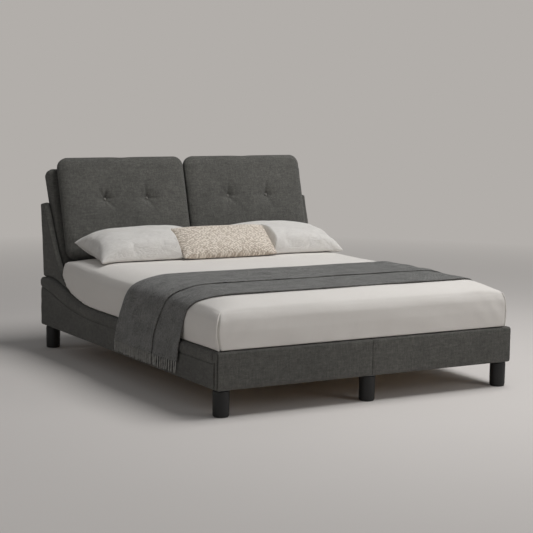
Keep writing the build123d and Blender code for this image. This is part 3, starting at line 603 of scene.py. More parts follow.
# ---------------------------------------------------------------- side rolls
# A padded roll caps each side board from the foot to the head, proud of the side below it.
# The cloth is pulled over a foam strip and ends in the seam, with small drag folds.
roll_in, roll_out, roll_end = 0.901, 0.956, 0.014
wing_start, wing_step = 1.490, 0.02
reach = np.concatenate(
    [
        pad_back + np.linspace(0, 0.02, 12),
        np.linspace(0.07, wing_start - wing_step, 110)[1:],
        np.linspace(wing_start - wing_step, wing_start + wing_step, 12)[1:],
        np.linspace(wing_start + wing_step, frame_end - roll_end, 90)[1:],
        frame_end - roll_end + roll_end * np.sin(turn)[1:],
    ]
)
shrink = np.concatenate([np.zeros(len(reach) - 7), (1 - np.cos(turn))[1:]])
for name, side in (("left", -1), ("right", 1)):
    top, low = crest(reach)[:, None], seam_height(reach)[:, None]
    behind = np.clip((reach - wing_start + 0.010) / 0.012, 0, 1)[:, None]
    start = roll_in + 0.0158 * behind
    round_in = 0.020 - 0.0145 * behind
    round_out = 0.024
    a = np.linspace(0, np.pi / 2, 10)[None]
    rise_in = np.linspace(0, 1, 14)[None]
    x_flank = start + 0 * rise_in
    z_flank = low + (top - round_in - low) * rise_in
    x_in_arc = start + round_in * (1 - np.cos(a))
    z_in_arc = top - round_in + round_in * np.sin(a)
    run = np.linspace(0, 1, 10)[None, 1:-1]
    x_top = start + round_in + (roll_out - round_out - start - round_in) * run
    z_top = top + 0 * run
    x_out_arc = roll_out - round_out + round_out * np.sin(a) + 0 * top
    z_out_arc = top - round_out + round_out * np.cos(a)
    fall = np.linspace(0, 1, 26)[None, 1:]
    depth = top - round_out - low
    x_fall = roll_out + 0 * depth - 0.0095 * np.clip((fall - 0.35) / 0.65, 0, 1) ** 1.8
    z_fall = top - round_out - depth * fall
    drag = 0.0006 * np.sin(reach[:, None] * 37 + 2 * side) * np.sin(fall * 5)
    x_fall = x_fall + drag
    end = x_fall[:, -1:]
    tuck_x = end - np.array([[0.004, 0.007]])
    tuck_z = low + np.array([[0.0005, 0.0015]])
    x = np.concatenate([x_flank, x_in_arc[:, 1:], x_top, x_out_arc, x_fall, tuck_x], axis=1)
    z = np.concatenate([z_flank, z_in_arc[:, 1:], z_top, z_out_arc, z_fall, tuck_z], axis=1)
    z = z + 0.0008 * np.sin(reach[:, None] * 19 + side) * (z > top - 0.02)
    seam = 0.0012 * np.exp(-(reach[:, None] - 0.05) / 0.003)
    x_mid = (board_inner + board_outer) / 2
    x = x - seam * np.sign(x - x_mid)
    z = z - seam * (z > top - 0.012)
    board_top = top - 0.0098
    number = np.arange(x.shape[1])[None]
    top_start = rise_in.size + a.size // 2
    top_end = rise_in.size + a.size - 1 + run.size + a.size // 2
    is_in, is_top = number < top_start, (number >= top_start) & (number < top_end)
    x_core = np.where(is_top, np.clip(x, board_inner, board_outer), board_outer + cloth_gap)
    x_core = np.where(is_in, board_inner - cloth_gap, x_core)
    x_core = x_core * np.ones_like(x)
    z_core = np.where(is_top, board_top, np.minimum(z, board_top))
    heart_x = np.full_like(x, x_mid)
    heart_z = np.clip(z, low + 0.012, top - 0.014)
    s = shrink[:, None]
    x, z = x + (heart_x - x) * s * 0.6, z + (heart_z - z) * s * 0.6
    outer = np.stack([side * x, foot + reach[:, None] + 0 * x, z], axis=-1)
    inner = np.stack(
        [side * x_core, foot + np.minimum(reach, frame_end - 0.0119)[:, None] + 0 * x, z_core], axis=-1
    )
    lid = np.stack([side * heart_x[-1:], foot + frame_end + 0 * heart_x[-1:], heart_z[-1:]], axis=-1)
    grids, faces = lined(np.concatenate([outer, lid]), np.concatenate([inner, inner[-1:]]))
    cover = form("roll_" + name, grids, faces, upholstery)
    stands_for(cover, "side_roll_" + name)


# ---------------------------------------------------------------- rear cover
# The board between the head legs is wrapped in the same cloth, with a thin pad on its back.
low, high = (np.array(corner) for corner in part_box("rear_cover"))
rear_in, rear_out, rear_top = 2.3202, 2.348, 0.410
board_in, board_out, board_top = 2.3204, 2.3382, 0.3962
section = rounded(
    [(rear_in, foot_low), (rear_out, foot_low), (rear_out, rear_top), (rear_in, rear_top)],
    [0.007, 0.009], 8, 16,
)
board_line = rounded(
    [(board_in, board_foot), (board_out, board_foot), (board_out, board_top), (board_in, board_top)],
    [0.0005, 0.0005], 8, 16,
)
reach = np.linspace(low[0], high[0], 120)[:, None]
swell = 0.0012 * np.sin(reach * 31) * np.sin(section[None, :, 1] * 41) * (section[None, :, 0] > 2.345)
outer = np.stack(
    [
        reach + 0 * section[None, :, 0],
        foot + section[None, :, 0] + 0 * reach - np.abs(swell),
        section[None, :, 1] + 0 * reach,
    ],
    axis=-1,
)
inner = np.stack(
    [
        reach + 0 * section[None, :, 0],
        foot + board_line[None, :, 0] + 0 * reach,
        board_line[None, :, 1] + 0 * reach,
    ],
    axis=-1,
)
grids, faces = lined(outer, inner)
cover = form("rear_pad", grids, faces, upholstery)
stands_for(cover, "rear_cover")


# ---------------------------------------------------------------- slatted base
# Two rows of sprung birch slats bow upwards between black plastic caps, which clip to the
# ledgers at the sides and to the beam in the middle.
slat_wood = timber("slat_birch", tone(231, 209, 171), tone(205, 174, 128), "X", 0.5, 0.05)
dress(slat_wood, "slats", edge=0.0008)
cap_plastic = Finish("cap_plastic", Specular_IOR_Level=0.4)
spot = cap_plastic.spot()
grain = cap_plastic.noise(spot, 1400.0, 2.0, 0.6)
cap_plastic.wear(
    cap_plastic.between(cap_plastic.noise(spot, 40.0, 2.0), tone(38, 38, 39), tone(52, 52, 53)),
    grain * 0.12 + 0.5,
    grain,
    0.0002,
    0.4,
)
dress(cap_plastic, "slat_end_caps", "slat_centre_caps", edge=0.0006)


# ---------------------------------------------------------------- headboard frame
# Pine stiles and rails with a plywood front lean back by about sixteen degrees between the
# wings. Two plywood gussets on the cross rail hold the middle of the panel from behind.
plywood = timber("plywood", tone(224, 200, 160), tone(200, 166, 118), "Z", 0.6, 0.0, 12.0)
dress(pine_upright, "headboard_stile_left", "headboard_stile_right")
dress(pine_across, "headboard_top_rail", "headboard_middle_rail", "headboard_bottom_rail")
dress(plywood, "headboard_board", "headboard_gusset_left", "headboard_gusset_right", "cushion_base_boards")
dress(plywood, "wing_board_left", "wing_board_right", edge=0.0006)


# ---------------------------------------------------------------- headboard cover and back
# Cloth over a thin pad is drawn round the front, the top and the ends of the leaning panel.
# Its back is closed by a separate cloth panel, turned in and sewn round the edge.
lean = math.atan(0.282)
panel_spot = np.array([0.0, foot + 2.133, 0.620])
panel_out = np.array([0.0, -math.cos(lean), math.sin(lean)])
panel_up = np.array([0.0, math.sin(lean), math.cos(lean)])


def on_panel(x, up, out):
    """Points in the room from points on the leaning panel: across, up the slope and out of its face."""
    x, up, out = np.broadcast_arrays(x, up, out)
    return (
        panel_spot + x[..., None] * [1.0, 0.0, 0.0] + up[..., None] * panel_up + out[..., None] * panel_out
    )


def eased(count, soft):
    """Places from -1 to 1 that crowd towards both ends, by a share of a sine."""
    t = np.linspace(-1, 1, count)
    return (1 - soft) * t + soft * np.sin(t * np.pi / 2)


def block(half, radius, counts, soft=0.6):
    """The six sides of a soft-edged box: a point of the plain box is held to the box less its radius, and
    the rest of its way is cut to the radius by its own length. Counts may be places from -1 to 1."""
    half, radius = np.asarray(half), np.asarray(radius)
    sides = []
    for axis in range(3):
        others = [a for a in range(3) if a != axis]
        u, v = np.meshgrid(
            *(eased(counts[a], soft) if np.isscalar(counts[a]) else counts[a] for a in others),
            indexing="ij",
        )
        for way in (-1, 1):
            p = np.zeros(u.shape + (3,))
            p[..., others[0]], p[..., others[1]], p[..., axis] = u, v, way
            p = p * half
            core = np.clip(p, -(half - radius), half - radius)
            rest = (p - core) / radius
            length = np.maximum(np.linalg.norm(rest, axis=-1, keepdims=True), 1e-9)
            sides.append(core + rest / np.maximum(length, 1e-9) * radius)
    return sides


def spread(x, up):
    """The panel widens with the wings: across, each point moves out by up to 32 mm, evenly from their bend
    to the panel's top."""
    return x * (1 + widening / cover_half[0] * np.clip((up - widening_low) / widening_rise, 0, 1))


cover_half, cover_up = np.array([0.895, 0.380, 0.039]), 0.157
widening, widening_low, widening_rise = 0.032, -0.137, 0.674
lining_out = 0.0799
sides = block(cover_half, (0.036, 0.036, 0.020), (150, 90, 22), 0.8)
del sides[4]
grids = []
for part in sides:
    x, up, out = part[..., 0], part[..., 1] + cover_up, part[..., 2] - cover_half[2]
    tug = 0.0010 * np.sin(x * 43 + up * 9) * np.sin(up * 37 - x * 5)
    grids.append(on_panel(spread(x, up), up - 0.0006 + tug * (up > 0.53), out + tug * (out > -0.004)))
cover = form("headboard_wrap", grids, [net(part) for part in grids], upholstery)
wall = cover.modifiers.new("pad", "SOLIDIFY")
wall.thickness, wall.offset = 0.0040, -1.0
stands_for(cover, "headboard_cover")

sides = block((0.891, 0.376, 0.0021), (0.036, 0.036, 0.0018), (140, 90, 5), 0.85)
grids = []
for part in sides:
    up = part[..., 1] + cover_up
    slack = 0.0006 * np.abs(np.sin(part[..., 0] * 17) * np.sin(part[..., 1] * 23))
    grids.append(on_panel(spread(part[..., 0], up), up, part[..., 2] - lining_out - slack))
backing = melange("back_lining", tone(40, 40, 39), tone(52, 52, 50), tone(66, 66, 64), 0.001)
cover = form("headboard_back", grids, [net(part) for part in grids], backing)
stands_for(cover, "headboard_back_panel")


# ---------------------------------------------------------------- wings
# A bent plywood wing stands inside each side panel and swoops down along the roll. Its cover
# is a thin skin inside and a thick pad outside above the roll, with a full soft edge.
inner_skin, outer_board, outer_pad = 0.899, 0.917, 0.936
flare, inner_flare = 0.030, 0.0205
bend_low, bend_high = 0.462, 0.935
front_edge = smooth_line(
    [
        (1.492, 0.331),
        (1.700, 0.350),
        (1.862, 0.380),
        (1.998, 0.448),
        (2.082, 0.532),
        (2.146, 0.640),
        (2.262, 0.915),
    ],
    (1, 0.05),
    (0.42, 1),
    260,
)
wing_toe = np.stack([np.full(12, wing_start), np.linspace(0.284, 0.327, 12)], axis=-1)
front_edge = np.concatenate([wing_toe, front_edge])
sole_front, sole_rear = np.array([[1.492, 0.2835]]), np.array([[2.335, 0.2835]])
rear_edge = np.concatenate([
    sole_front + (sole_rear - sole_front) * np.linspace(0, 1, 130)[:, None],
    smooth_line([(2.345, 0.295), (2.345, 0.480), (2.340, 0.560), (2.322, 0.905)], (0, 1), (-0.05, 1), 142),
])


def wing_form(inset, skin, outside):
    """Closed strips of a wing: from the front edge across its outside to the rear edge and back inside; its
    half thickness falls as a quarter of a squarish circle near both edges."""
    across_steps = 44
    t = 0.5 - 0.5 * np.cos(np.linspace(0, np.pi, across_steps))
    front, rear = front_edge, rear_edge
    gap = rear - front
    width = np.linalg.norm(gap, axis=1, keepdims=True)
    way = gap / width
    front, rear = front + way * inset, rear - way * inset
    middle = front[:, None] + (rear - front)[:, None] * t[None, :, None]
    y, z = middle[..., 0], middle[..., 1]
    from_edge = np.minimum(t, 1 - t)[None] * np.maximum(width - 2 * inset, 0.004)
    bend = np.clip((z - bend_low) / (bend_high - bend_low), 0, 1)
    rise = np.clip((z - crest(y) - 0.0005) / 0.016, 0, 1)
    proud = outer_board - 0.0004 + (outside - outer_board) * np.sqrt(np.clip(1 - (1 - rise) ** 2, 0, 1))
    proud = np.where(outside > outer_board, proud, outside)
    middle_x = (proud + skin) / 2 + (flare + inner_flare) / 2 * bend
    half = (proud - skin) / 2 + (flare - inner_flare) / 2 * bend
    edge = np.minimum(0.014, np.maximum(width, 0.01) / 2)
    fullness = np.clip(1 - np.clip(1 - from_edge / edge, 0, 1) ** 2.6, 0, 1) ** (1 / 2.6)
    return middle_x, half * fullness, y, z


for name, side in (("left", -1), ("right", 1)):
    middle_x, half, y, z = wing_form(0.0, inner_skin, outer_pad)
    pull = 0.0008 * np.sin(z * 31 + y * 17) * np.sin(y * 23 - z * 11) * (half > 0.012)
    outside = np.stack([side * (middle_x + half + pull), foot + y, z], axis=-1)
    inside = np.stack([side * (middle_x - half), foot + y, z], axis=-1)
    ring = np.concatenate([outside, inside[:, -2:0:-1]], axis=1)
    top = ring[-1:]
    heart = np.stack(
        [
            side * np.concatenate([middle_x, middle_x[:, -2:0:-1]], axis=1)[-1:],
            foot + np.concatenate([y, y[:, -2:0:-1]], axis=1)[-1:],
            np.concatenate([z, z[:, -2:0:-1]], axis=1)[-1:],
        ],
        axis=-1,
    )
    lift = np.array([0.0, 0.0, 0.010])
    caps = [
        top + (heart - top) * (1 - math.cos(a)) + lift * math.sin(a)
        for a in np.linspace(0, np.pi / 2, 7)[1:]
    ]
    grid = np.concatenate([ring] + caps)
    solid = form("wing_pad_" + name, [grid], [net(grid, round_columns=True)], upholstery)
    stands_for(solid, "wing_cover_" + name)


# ---------------------------------------------------------------- headboard cushions
# Two foam cushions hang on plywood base boards screwed to the leaning panel. Two covered
# buttons pull each one in, and the cloth puckers round them in short radiating folds.
cushion_low, cushion_high, cushion_deep = -0.058, 0.593, 0.079
cushion_near, cushion_far = 0.005, 0.881
cushion_round = (0.066, 0.066, 0.030)
button_up, button_across, button_out = 0.320, (0.298, 0.592), 0.0535
tie_deep, tie_wide, tuft_deep, tuft_wide = 0.004, 0.012, 0.030, 0.050


def tufted(dx, du, lines):
    """How deep the cloth is pulled in round a button: a narrow and a wide bell, and creases along given
    angles that widen and fade outwards."""
    away, angle = np.hypot(dx, du), np.arctan2(du, dx)
    dent = tie_deep * np.exp(-((away / tie_wide) ** 2)) + tuft_deep * np.exp(-((away / tuft_wide) ** 1.3))
    for way, long, deep in lines:
        off = angle - math.radians(way)
        beside = away * np.abs(np.sin(off))
        crease = (
            np.exp(-((beside / (0.0045 + 0.16 * away)) ** 2)) * np.exp(-((away / (1.1 * long)) ** 1.5))
            * (np.cos(off) > 0)
        )
        dent = dent + 1.6 * deep * crease * np.clip((away - 0.004) / 0.012, 0, 1)
    return dent


creases = {
    -0.592: [
        (82, 0.085, 0.0060),
        (38, 0.050, 0.0030),
        (4, 0.080, 0.0046),
        (-48, 0.060, 0.0034),
        (-98, 0.050, 0.0030),
        (-150, 0.055, 0.0030),
        (172, 0.060, 0.0030),
        (124, 0.070, 0.0040),
    ],
    -0.298: [
        (96, 0.075, 0.0052),
        (50, 0.060, 0.0038),
        (-4, 0.060, 0.0040),
        (-62, 0.080, 0.0044),
        (-115, 0.050, 0.0026),
        (176, 0.080, 0.0042),
        (140, 0.050, 0.0032),
    ],
    0.298: [
        (86, 0.080, 0.0054),
        (44, 0.055, 0.0034),
        (2, 0.080, 0.0042),
        (-52, 0.060, 0.0036),
        (-104, 0.055, 0.0030),
        (-168, 0.060, 0.0032),
        (132, 0.060, 0.0038),
    ],
    0.592: [
        (92, 0.080, 0.0056),
        (34, 0.060, 0.0036),
        (-10, 0.055, 0.0034),
        (-70, 0.070, 0.0040),
        (-128, 0.055, 0.0030),
        (178, 0.080, 0.0042),
        (128, 0.055, 0.0034),
    ],
}
for name, side in (("left", -1), ("right", 1)):
    half = np.array([(cushion_far - cushion_near) / 2, (cushion_high - cushion_low) / 2, cushion_deep / 2])
    middle = (side * (cushion_far + cushion_near) / 2, (cushion_high + cushion_low) / 2)
    grids = []
    for part in block(half, cushion_round, (230, 165, 20), 0.40):
        x, up, out = part[..., 0] + middle[0], part[..., 1] + middle[1], part[..., 2] + half[2]
        edge_x = np.clip((half[0] - np.abs(part[..., 0])) / half[0], 0, 1)
        edge_up = np.clip((half[1] - np.abs(part[..., 1])) / half[1], 0, 1)
        front = np.clip((out - 0.045) / 0.02, 0, 1)
        crown = 0.013 * (1 - (1 - edge_x) ** 2.6) * (1 - (1 - edge_up) ** 2.6) - 0.006
        dent = sum(
            tufted(x - side * place, up - button_up, creases[side * place]) for place in button_across
        )
        slack = (
            0.0014 * np.sin(x * 19 + 2 * np.sin(up * 11)) * np.sin(up * 15 + x * 4)
            + 0.0007 * np.sin(x * 47 + up * 13) * np.sin(up * 39 - x * 8)
        )
        out = out + front * (crown - dent + slack)
        pinch = 0.003 * np.exp(-(((np.abs(x) - 0.44) / 0.05) ** 2)) * np.clip((up - 0.50) / 0.09, 0, 1)
        grids.append(on_panel(x, up - pinch, np.maximum(out, 0.0005)))
    cushion = form("tufted_cushion_" + name, grids, [net(part) for part in grids], upholstery)
    stands_for(cushion, "headboard_cushion_" + name)

# Each button is a domed steel shell covered in the same cloth and tied through the foam; its cloth is given
# paler greys than the upholstery, a painted highlight.
dome = rounded(
    [(0.0, 0.0), (0.0095, 0.0), (0.0095, 0.0030), (0.0045, 0.0064), (0.0, 0.0070)],
    [0.001, 0.0026, 0.002],
    5,
    4,
)
grids = []
for place in (-button_across[1], -button_across[0], button_across[0], button_across[1]):
    ring = turned(dome, (0.0, 0.0, 0.0), 28)
    grids.append(on_panel(ring[..., 0] + place, ring[..., 1] + button_up, ring[..., 2] + button_out))
# Paler greys than the upholstery cloth: a painted highlight on the buttons.
button_cloth = melange("button_cloth", tone(84, 83, 79), tone(122, 120, 115), tone(158, 156, 149))
buttons = form("covered_buttons", grids, [net(part, round_rows=True) for part in grids], button_cloth)
stands_for(buttons, "cushion_buttons")


# ---------------------------------------------------------------- mattress
# A sprung mattress of 1800 by 2000 mm lies on the slats. Its ticking is a pale woven cloth
# with a narrow stripe, and a taped edge runs round its foot and its top.
ticking = Finish("mattress_ticking", Sheen_Weight=0.1)
spot = ticking.spot()
split = ticking.node("ShaderNodeSeparateXYZ", {}, spot)
stripe = ((split * 210.0).maths("SINE") * 3.0 + 0.5).held()
fine = weave(ticking, spot, 0.0012)
ticking.wear(
    ticking.between(stripe * 0.35, tone(222, 219, 211), tone(176, 180, 184)),
    fine * 0.05 + 0.82,
    fine + stripe * 0.8,
    0.0004,
    0.6,
)
half_wide, half_long, mid_long = 0.895, 0.995, 1.047
bed_middle = foot + mid_long
soft_in, soft_down = 0.20, 0.060
bed_low, bed_rise = 0.345, 0.255
mattress_middle, sheet_middle = 0.449, 0.4505


def sag(x, y):
    """How far the mattress top has fallen towards its edges: near each side a power of the share of the
    soft edge, joined so that a corner falls no further than a side, and half as far at the head."""
    fall_x, fall_y = (
        np.clip(1 - gap / soft_in, 0, 1) ** 2.3 for gap in (
            half_wide - np.abs(x), half_long - np.abs(y - mid_long)
        )
    )
    return soft_down * (fall_x + fall_y - fall_x * fall_y) * (1 - 0.5 * np.clip((y - 1.35) / 0.5, 0, 1))


def settled(points):
    """How the mattress sits: its top sags to the edges, and above the rails and the wings' front edges,
    where nothing holds it in, it swells by a sine of its height, a little more at the left foot corner
    and less at the right one."""
    x, y, z = points[..., 0], points[..., 1] - foot, points[..., 2]
    z = z - sag(x, y) * np.clip((z - bed_low) / bed_rise, 0, 1)
    held = np.maximum(np.interp(y, front_edge[12:, 0], front_edge[12:, 1]), crest(y))
    free_x, free_y = (np.clip((z - edge) / 0.005, 0, 1) for edge in (held + 0.0018, 0.3428))
    swell = (
        0.038 + 0.004 * np.sin(np.pi * np.clip((z - bed_low) / 0.19, 0, 1))
        - 0.006 * np.clip((z - 0.44) / 0.1, 0, 1)
    )
    long = np.clip((mid_long - y) / half_long, 0, 1)
    bow = (
        (0.004 + 0.018 * np.sin(np.pi * np.clip((z - bed_low) / 0.22, 0, 1)))
        * np.exp(-np.maximum(y, 0) / 0.20) * (x < 0)
        - 0.016 * (x > 0) * np.exp(-((y / 0.30) ** 2))
    )
    return np.stack(
        [
            x + (swell + bow) * free_x * (3 - 2 * free_x) * free_x * x / half_wide,
            foot + y - (swell + 0.002) * (3 - 2 * free_y) * free_y**2 * long**3,
            z,
        ],
        axis=-1,
    )


half, soft = np.array([0.893, 0.993, 0.149]), np.array([0.026, 0.026, 0.060])
grids = []
for part in block(half, soft, (90, 100, 40), 0.5):
    dimple = 0.002 * np.sin(part[..., 0] * 31) * np.sin(part[..., 1] * 31) * (np.abs(part[..., 2]) > 0.14)
    lie = np.sign(part[..., 2]) * np.abs(dimple)
    place = part + np.stack(
        [0 * dimple, bed_middle + 0 * dimple, mattress_middle - lie], axis=-1
    )
    grids.append(settled(place))
mattress = form("sprung_mattress", grids, [net(part) for part in grids], ticking)
stands_for(mattress, "mattress", "mattress")


# ---------------------------------------------------------------- fitted sheet
# White cotton percale is stretched over the mattress and tucked under it. A corded seam
# closes each corner, and the cloth pulls into short creases beside it.
percale = Finish("sheet_percale", Sheen_Weight=0.12, Sheen_Roughness=0.4, Specular_IOR_Level=0.3)
spot = percale.spot()
fine = weave(percale, spot, 0.0009)
cloud = percale.noise(spot, 4.0, 4.0, 0.55)
crease = percale.noise(percale.spot((1, 1, 0.5)), 11.0, 4.0, 0.6, 0.8)
percale.wear(
    percale.between(cloud * 0.7 + crease * 0.3, tone(226, 222, 217), tone(218, 213, 207)),
    cloud * 0.08 + 0.80,
    fine * 0.05 + crease * 1.0 + cloud * 0.8,
    0.004,
    0.35,
)
half, soft = np.array([half_wide, half_long, 0.1495]), np.array([0.026, 0.026, 0.060])


def spaced(count, fine, share):
    """Places from -1 to 1: even steps in the middle and finer ones in the last share at each end."""
    end = 1 - share + share * np.linspace(0, 1, fine + 1)[1:]
    return np.concatenate([-end[::-1], np.linspace(share - 1, 1 - share, count), end])


sides = block(half, soft, (spaced(104, 11, 0.026), spaced(116, 11, 0.024), spaced(20, 12, 0.42)))
del sides[4]
grids = []
for part in sides:
    x, y, z = part[..., 0], part[..., 1], part[..., 2] + sheet_middle
    on_top = np.clip((z - 0.585) / 0.012, 0, 1)
    corner_x, corner_y = np.abs(x) - (half[0] - soft[0]), np.abs(y) - (half[1] - soft[1])
    at_corner = (corner_x > -0.001) & (corner_y > -0.001)
    bend = (np.arctan2(np.maximum(corner_y, 0), np.maximum(corner_x, 0)) - np.pi / 4) * soft[0]
    below = np.clip((0.592 - z) / 0.02, 0, 1)
    dart = 0.0120 * np.exp(-(((bend - 0.0062) / 0.0034) ** 2)) * at_corner * below
    from_seam = np.hypot(np.minimum(corner_x, 0), np.minimum(corner_y, 0))
    on_foot = (corner_y > corner_x) * (1 - on_top)
    dimple = (
        0.0120 * np.exp(-(((from_seam - 0.012) / 0.034) ** 2)) * np.exp(-(((z - 0.572) / 0.032) ** 2))
        * on_foot
    )
    creases = (
        0.0026 * np.exp(-from_seam / 0.12) * np.sin(from_seam * 62 + (0.60 - z) * 30) * (1 - on_top)
        * np.clip((z - 0.36) / 0.1, 0, 1)
    )
    hem = (
        0.0018 * np.exp(-np.maximum(z - 0.36, 0) / 0.06) * np.sin((x - y) * 27 + 2 * np.sin(x * 5 - y * 7))
        * (1 - on_top)
    )
    long_fold = (
        0.0022 * np.sin((x - y) * 9 + 2.2 * np.sin((x + y) * 2.7) + z * 12) * np.sin(z * 14 + x * 3)
        * (1 - on_top)
    )
    billow = 0.0022 * on_top * (np.sin(x * 8 + 1.7 * np.sin(y * 4.3)) * np.sin(y * 6.5 + x * 2.2) - 0.4)
    way = part - np.clip(part, -(half - soft), half - soft)
    way = way / np.maximum(np.linalg.norm(way, axis=-1, keepdims=True), 1e-9)
    push = np.maximum(creases + hem + billow + long_fold, -0.0014) - dart - dimple * 0.5
    grids.append(settled(np.stack([x, y + bed_middle, z], axis=-1) + way * (push + 0.0016)[..., None]))
sheet = form("fitted_percale", grids, [net(part) for part in grids], percale)
wall = sheet.modifiers.new("cloth", "SOLIDIFY")
wall.thickness, wall.offset = 0.0008, -1.0
stands_for(sheet, "fitted_sheet", "mattress")


def cord_line(path, thick, sides=10):
    """A round cord along a path: at each point a circle across the path's direction, from that direction
    crossed with the steadiest axis."""
    path = np.asarray(path)
    ahead = np.gradient(path, axis=0)
    ahead /= np.linalg.norm(ahead, axis=1, keepdims=True)
    steady = np.eye(3)[np.argmin(np.abs(ahead).max(axis=0))]
    first = np.cross(ahead, steady)
    first /= np.linalg.norm(first, axis=1, keepdims=True)
    second = np.cross(ahead, first)
    angle = np.linspace(0, 2 * np.pi, sides, endpoint=False)[None, :, None]
    ring = path[:, None] + thick * (np.cos(angle) * first[:, None] + np.sin(angle) * second[:, None])
    ends = [path[:1, None] + 0 * ring[:1], path[-1:, None] + 0 * ring[:1]]
    return np.concatenate([ends[0], ring, ends[1]])


grids = []
for way_x in (-1, 1):
    for way_y in (-1, 1):
        z = np.linspace(0.334, 0.592, 70)
        top_in = np.clip((z - 0.540) / 0.060, 0, 1)
        lean_in = math.pi / 4 - 0.10
        r = soft[0] * np.sqrt(1 - top_in**2) + 0.0026
        x = way_x * (half[0] - soft[0] + r * math.cos(lean_in))
        y = bed_middle + way_y * (half[1] - soft[1] + r * math.sin(lean_in))
        grids.append(cord_line(settled(np.stack([x, y, z], axis=-1)), 0.0042))
cords = form("sheet_corner_cording", grids, [net(part, round_columns=True) for part in grids], percale)
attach(cords, "mattress")


# ---------------------------------------------------------------- throw
# A dark grey wool throw lies across the bed, folded double: the lower layer is as wide as
# the throw, turns over at the edge nearer the head and comes back over half of itself.
throw_wool = Finish("throw_wool", Sheen_Weight=0.35, Sheen_Roughness=0.45, Specular_IOR_Level=0.2)
spot = throw_wool.node("ShaderNodeUVMap", {"uv_map": "cloth"})
split = throw_wool.node("ShaderNodeSeparateXYZ", {}, spot)
along_cloth, over_cloth = split, Wire(throw_wool, split.socket.node.outputs[1])
rib = (over_cloth * 900.0).maths("SINE") * 0.5 + 0.5
stitch = (along_cloth * 1500.0 + rib * 1.2).maths("SINE") * 0.5 + 0.5
fuzz = throw_wool.noise(throw_wool.spot(), 620.0, 4.0, 0.75)
streak = throw_wool.noise(
    throw_wool.node("ShaderNodeMapping", {}, spot, Scale=(1.2, 60.0, 1.0)), 6.0, 3.0, 0.6
)
tufts = throw_wool.noise(
    throw_wool.node("ShaderNodeMapping", {}, spot, Scale=(1.0, 2.2, 1.0)), 95.0, 4.0, 0.75, 0.4
)
patches = throw_wool.noise(spot, 13.0, 3.0, 0.6)
mask = (
    fuzz * 0.7 + streak * 1.0 + tufts * 3.2 + patches * 0.8 + rib * 0.12 + stitch * 0.1 - 2.48
).held()
throw_wool.wear(
    throw_wool.between(mask, tone(36, 36, 35), tone(146, 145, 141)),
    fuzz * 0.1 + 0.85,
    rib * 0.5 + stitch * 0.3 + fuzz * 0.9 + tufts * 2.4,
    0.0022,
    0.9,
)
layer, fold_gap = 0.0046, 0.0062
lies_at = layer / 2 + 0.0004
sheet_top, sheet_side = 0.6012, 0.8965
low_count, high_count = 90, 50


def evened(line, passes):
    """Smooths a line where it lies: each inner point moves to the mean of its neighbours and twice itself."""
    for _ in range(passes):
        line[1:-1] = (line[:-2] + 2 * line[1:-1] + line[2:]) / 4


across_bed = rounded([(0.0, sheet_top), (sheet_side, sheet_top), (sheet_side, 0.352)], [0.032], 14, 70)
across_bed = settled(
    np.stack([across_bed[:, 0], 0 * across_bed[:, 0] + foot + 0.75, across_bed[:, 1]], axis=-1)
)[:, [0, 2]]
shoulder = np.linspace(0, np.pi / 2, 12)
over_roll = np.stack([0.933 + 0.0245 * np.sin(shoulder), 0.317 + 0.0245 * np.cos(shoulder)], axis=-1)
facing = np.linspace(np.pi / 2, 0, 500)
facing = np.stack([np.cos(facing), np.sin(facing)], axis=-1)
under_throw = np.concatenate([across_bed, over_roll, [[0.9575, 0.20]]])
taut = under_throw[np.argmax(facing @ under_throw.T, axis=1)] + facing * 0.0016
taut = np.concatenate([[[0.0, taut[0, 1]]], taut, [[taut[-1, 0], 0.2235]]])
taut = taut[np.concatenate([[True], np.linalg.norm(np.diff(taut, axis=0), axis=1) > 1e-6])]
spent = np.concatenate([[0], np.cumsum(np.linalg.norm(np.diff(taut, axis=0), axis=1))])
half_path = np.stack([np.interp(np.linspace(0, spent[-1], 260), spent, taut[:, i]) for i in (0, 1)], axis=-1)
evened(half_path, 14)
top_z = half_path[0, 1]
path = np.concatenate([half_path[:0:-1] * [-1, 1], half_path])
ahead = np.gradient(path, axis=0)
ahead /= np.linalg.norm(ahead, axis=1, keepdims=True)
outwards = np.stack([-ahead[:, 1], ahead[:, 0]], axis=-1)
down = np.clip(top_z - path[:, 1], 0, None)
foot_side = np.interp(
    down,
    [0, 0.003, 0.017, 0.033, 0.055, 0.092, 0.15, 0.25, 0.38],
    [0.188, 0.198, 0.250, 0.286, 0.319, 0.355, 0.376, 0.391, 0.418],
)
head_side = np.interp(
    down,
    [0, 0.010, 0.033, 0.067, 0.124, 0.215, 0.303, 0.38],
    [0.998, 1.002, 1.027, 1.059, 1.100, 1.139, 1.163, 1.184],
)
turned_back = np.interp(
    down,
    [0, 0.005, 0.020, 0.064, 0.123, 0.20, 0.274, 0.38],
    [0.548, 0.528, 0.540, 0.583, 0.636, 0.665, 0.684, 0.709],
)
for hem_line, passes in ((foot_side, 6), (head_side, 6), (turned_back, 160)):
    evened(hem_line, passes)
low_run = np.linspace(0, 1, low_count)
arc = np.linspace(-np.pi / 2, np.pi / 2, 9)[1:-1]
high_run = np.linspace(0, 1, high_count)
y_low = foot_side[:, None] + (head_side - fold_gap / 2 - foot_side)[:, None] * low_run
y_arc = (head_side - fold_gap / 2)[:, None] + fold_gap / 2 * np.cos(arc)
y_high = (head_side - fold_gap / 2)[:, None] + (turned_back - head_side + fold_gap / 2)[:, None] * high_run
lift_low = 0 * y_low + lies_at
lift_arc = lies_at + fold_gap / 2 * (1 + np.sin(arc)) + 0 * y_arc
lift_high = 0 * y_high + lies_at + fold_gap
y = np.concatenate([y_low, y_arc, y_high], axis=1)
lift = np.concatenate([lift_low, lift_arc, lift_high], axis=1)
run = np.concatenate([[0], np.cumsum(np.linalg.norm(np.diff(path, axis=0), axis=1))])[:, None]
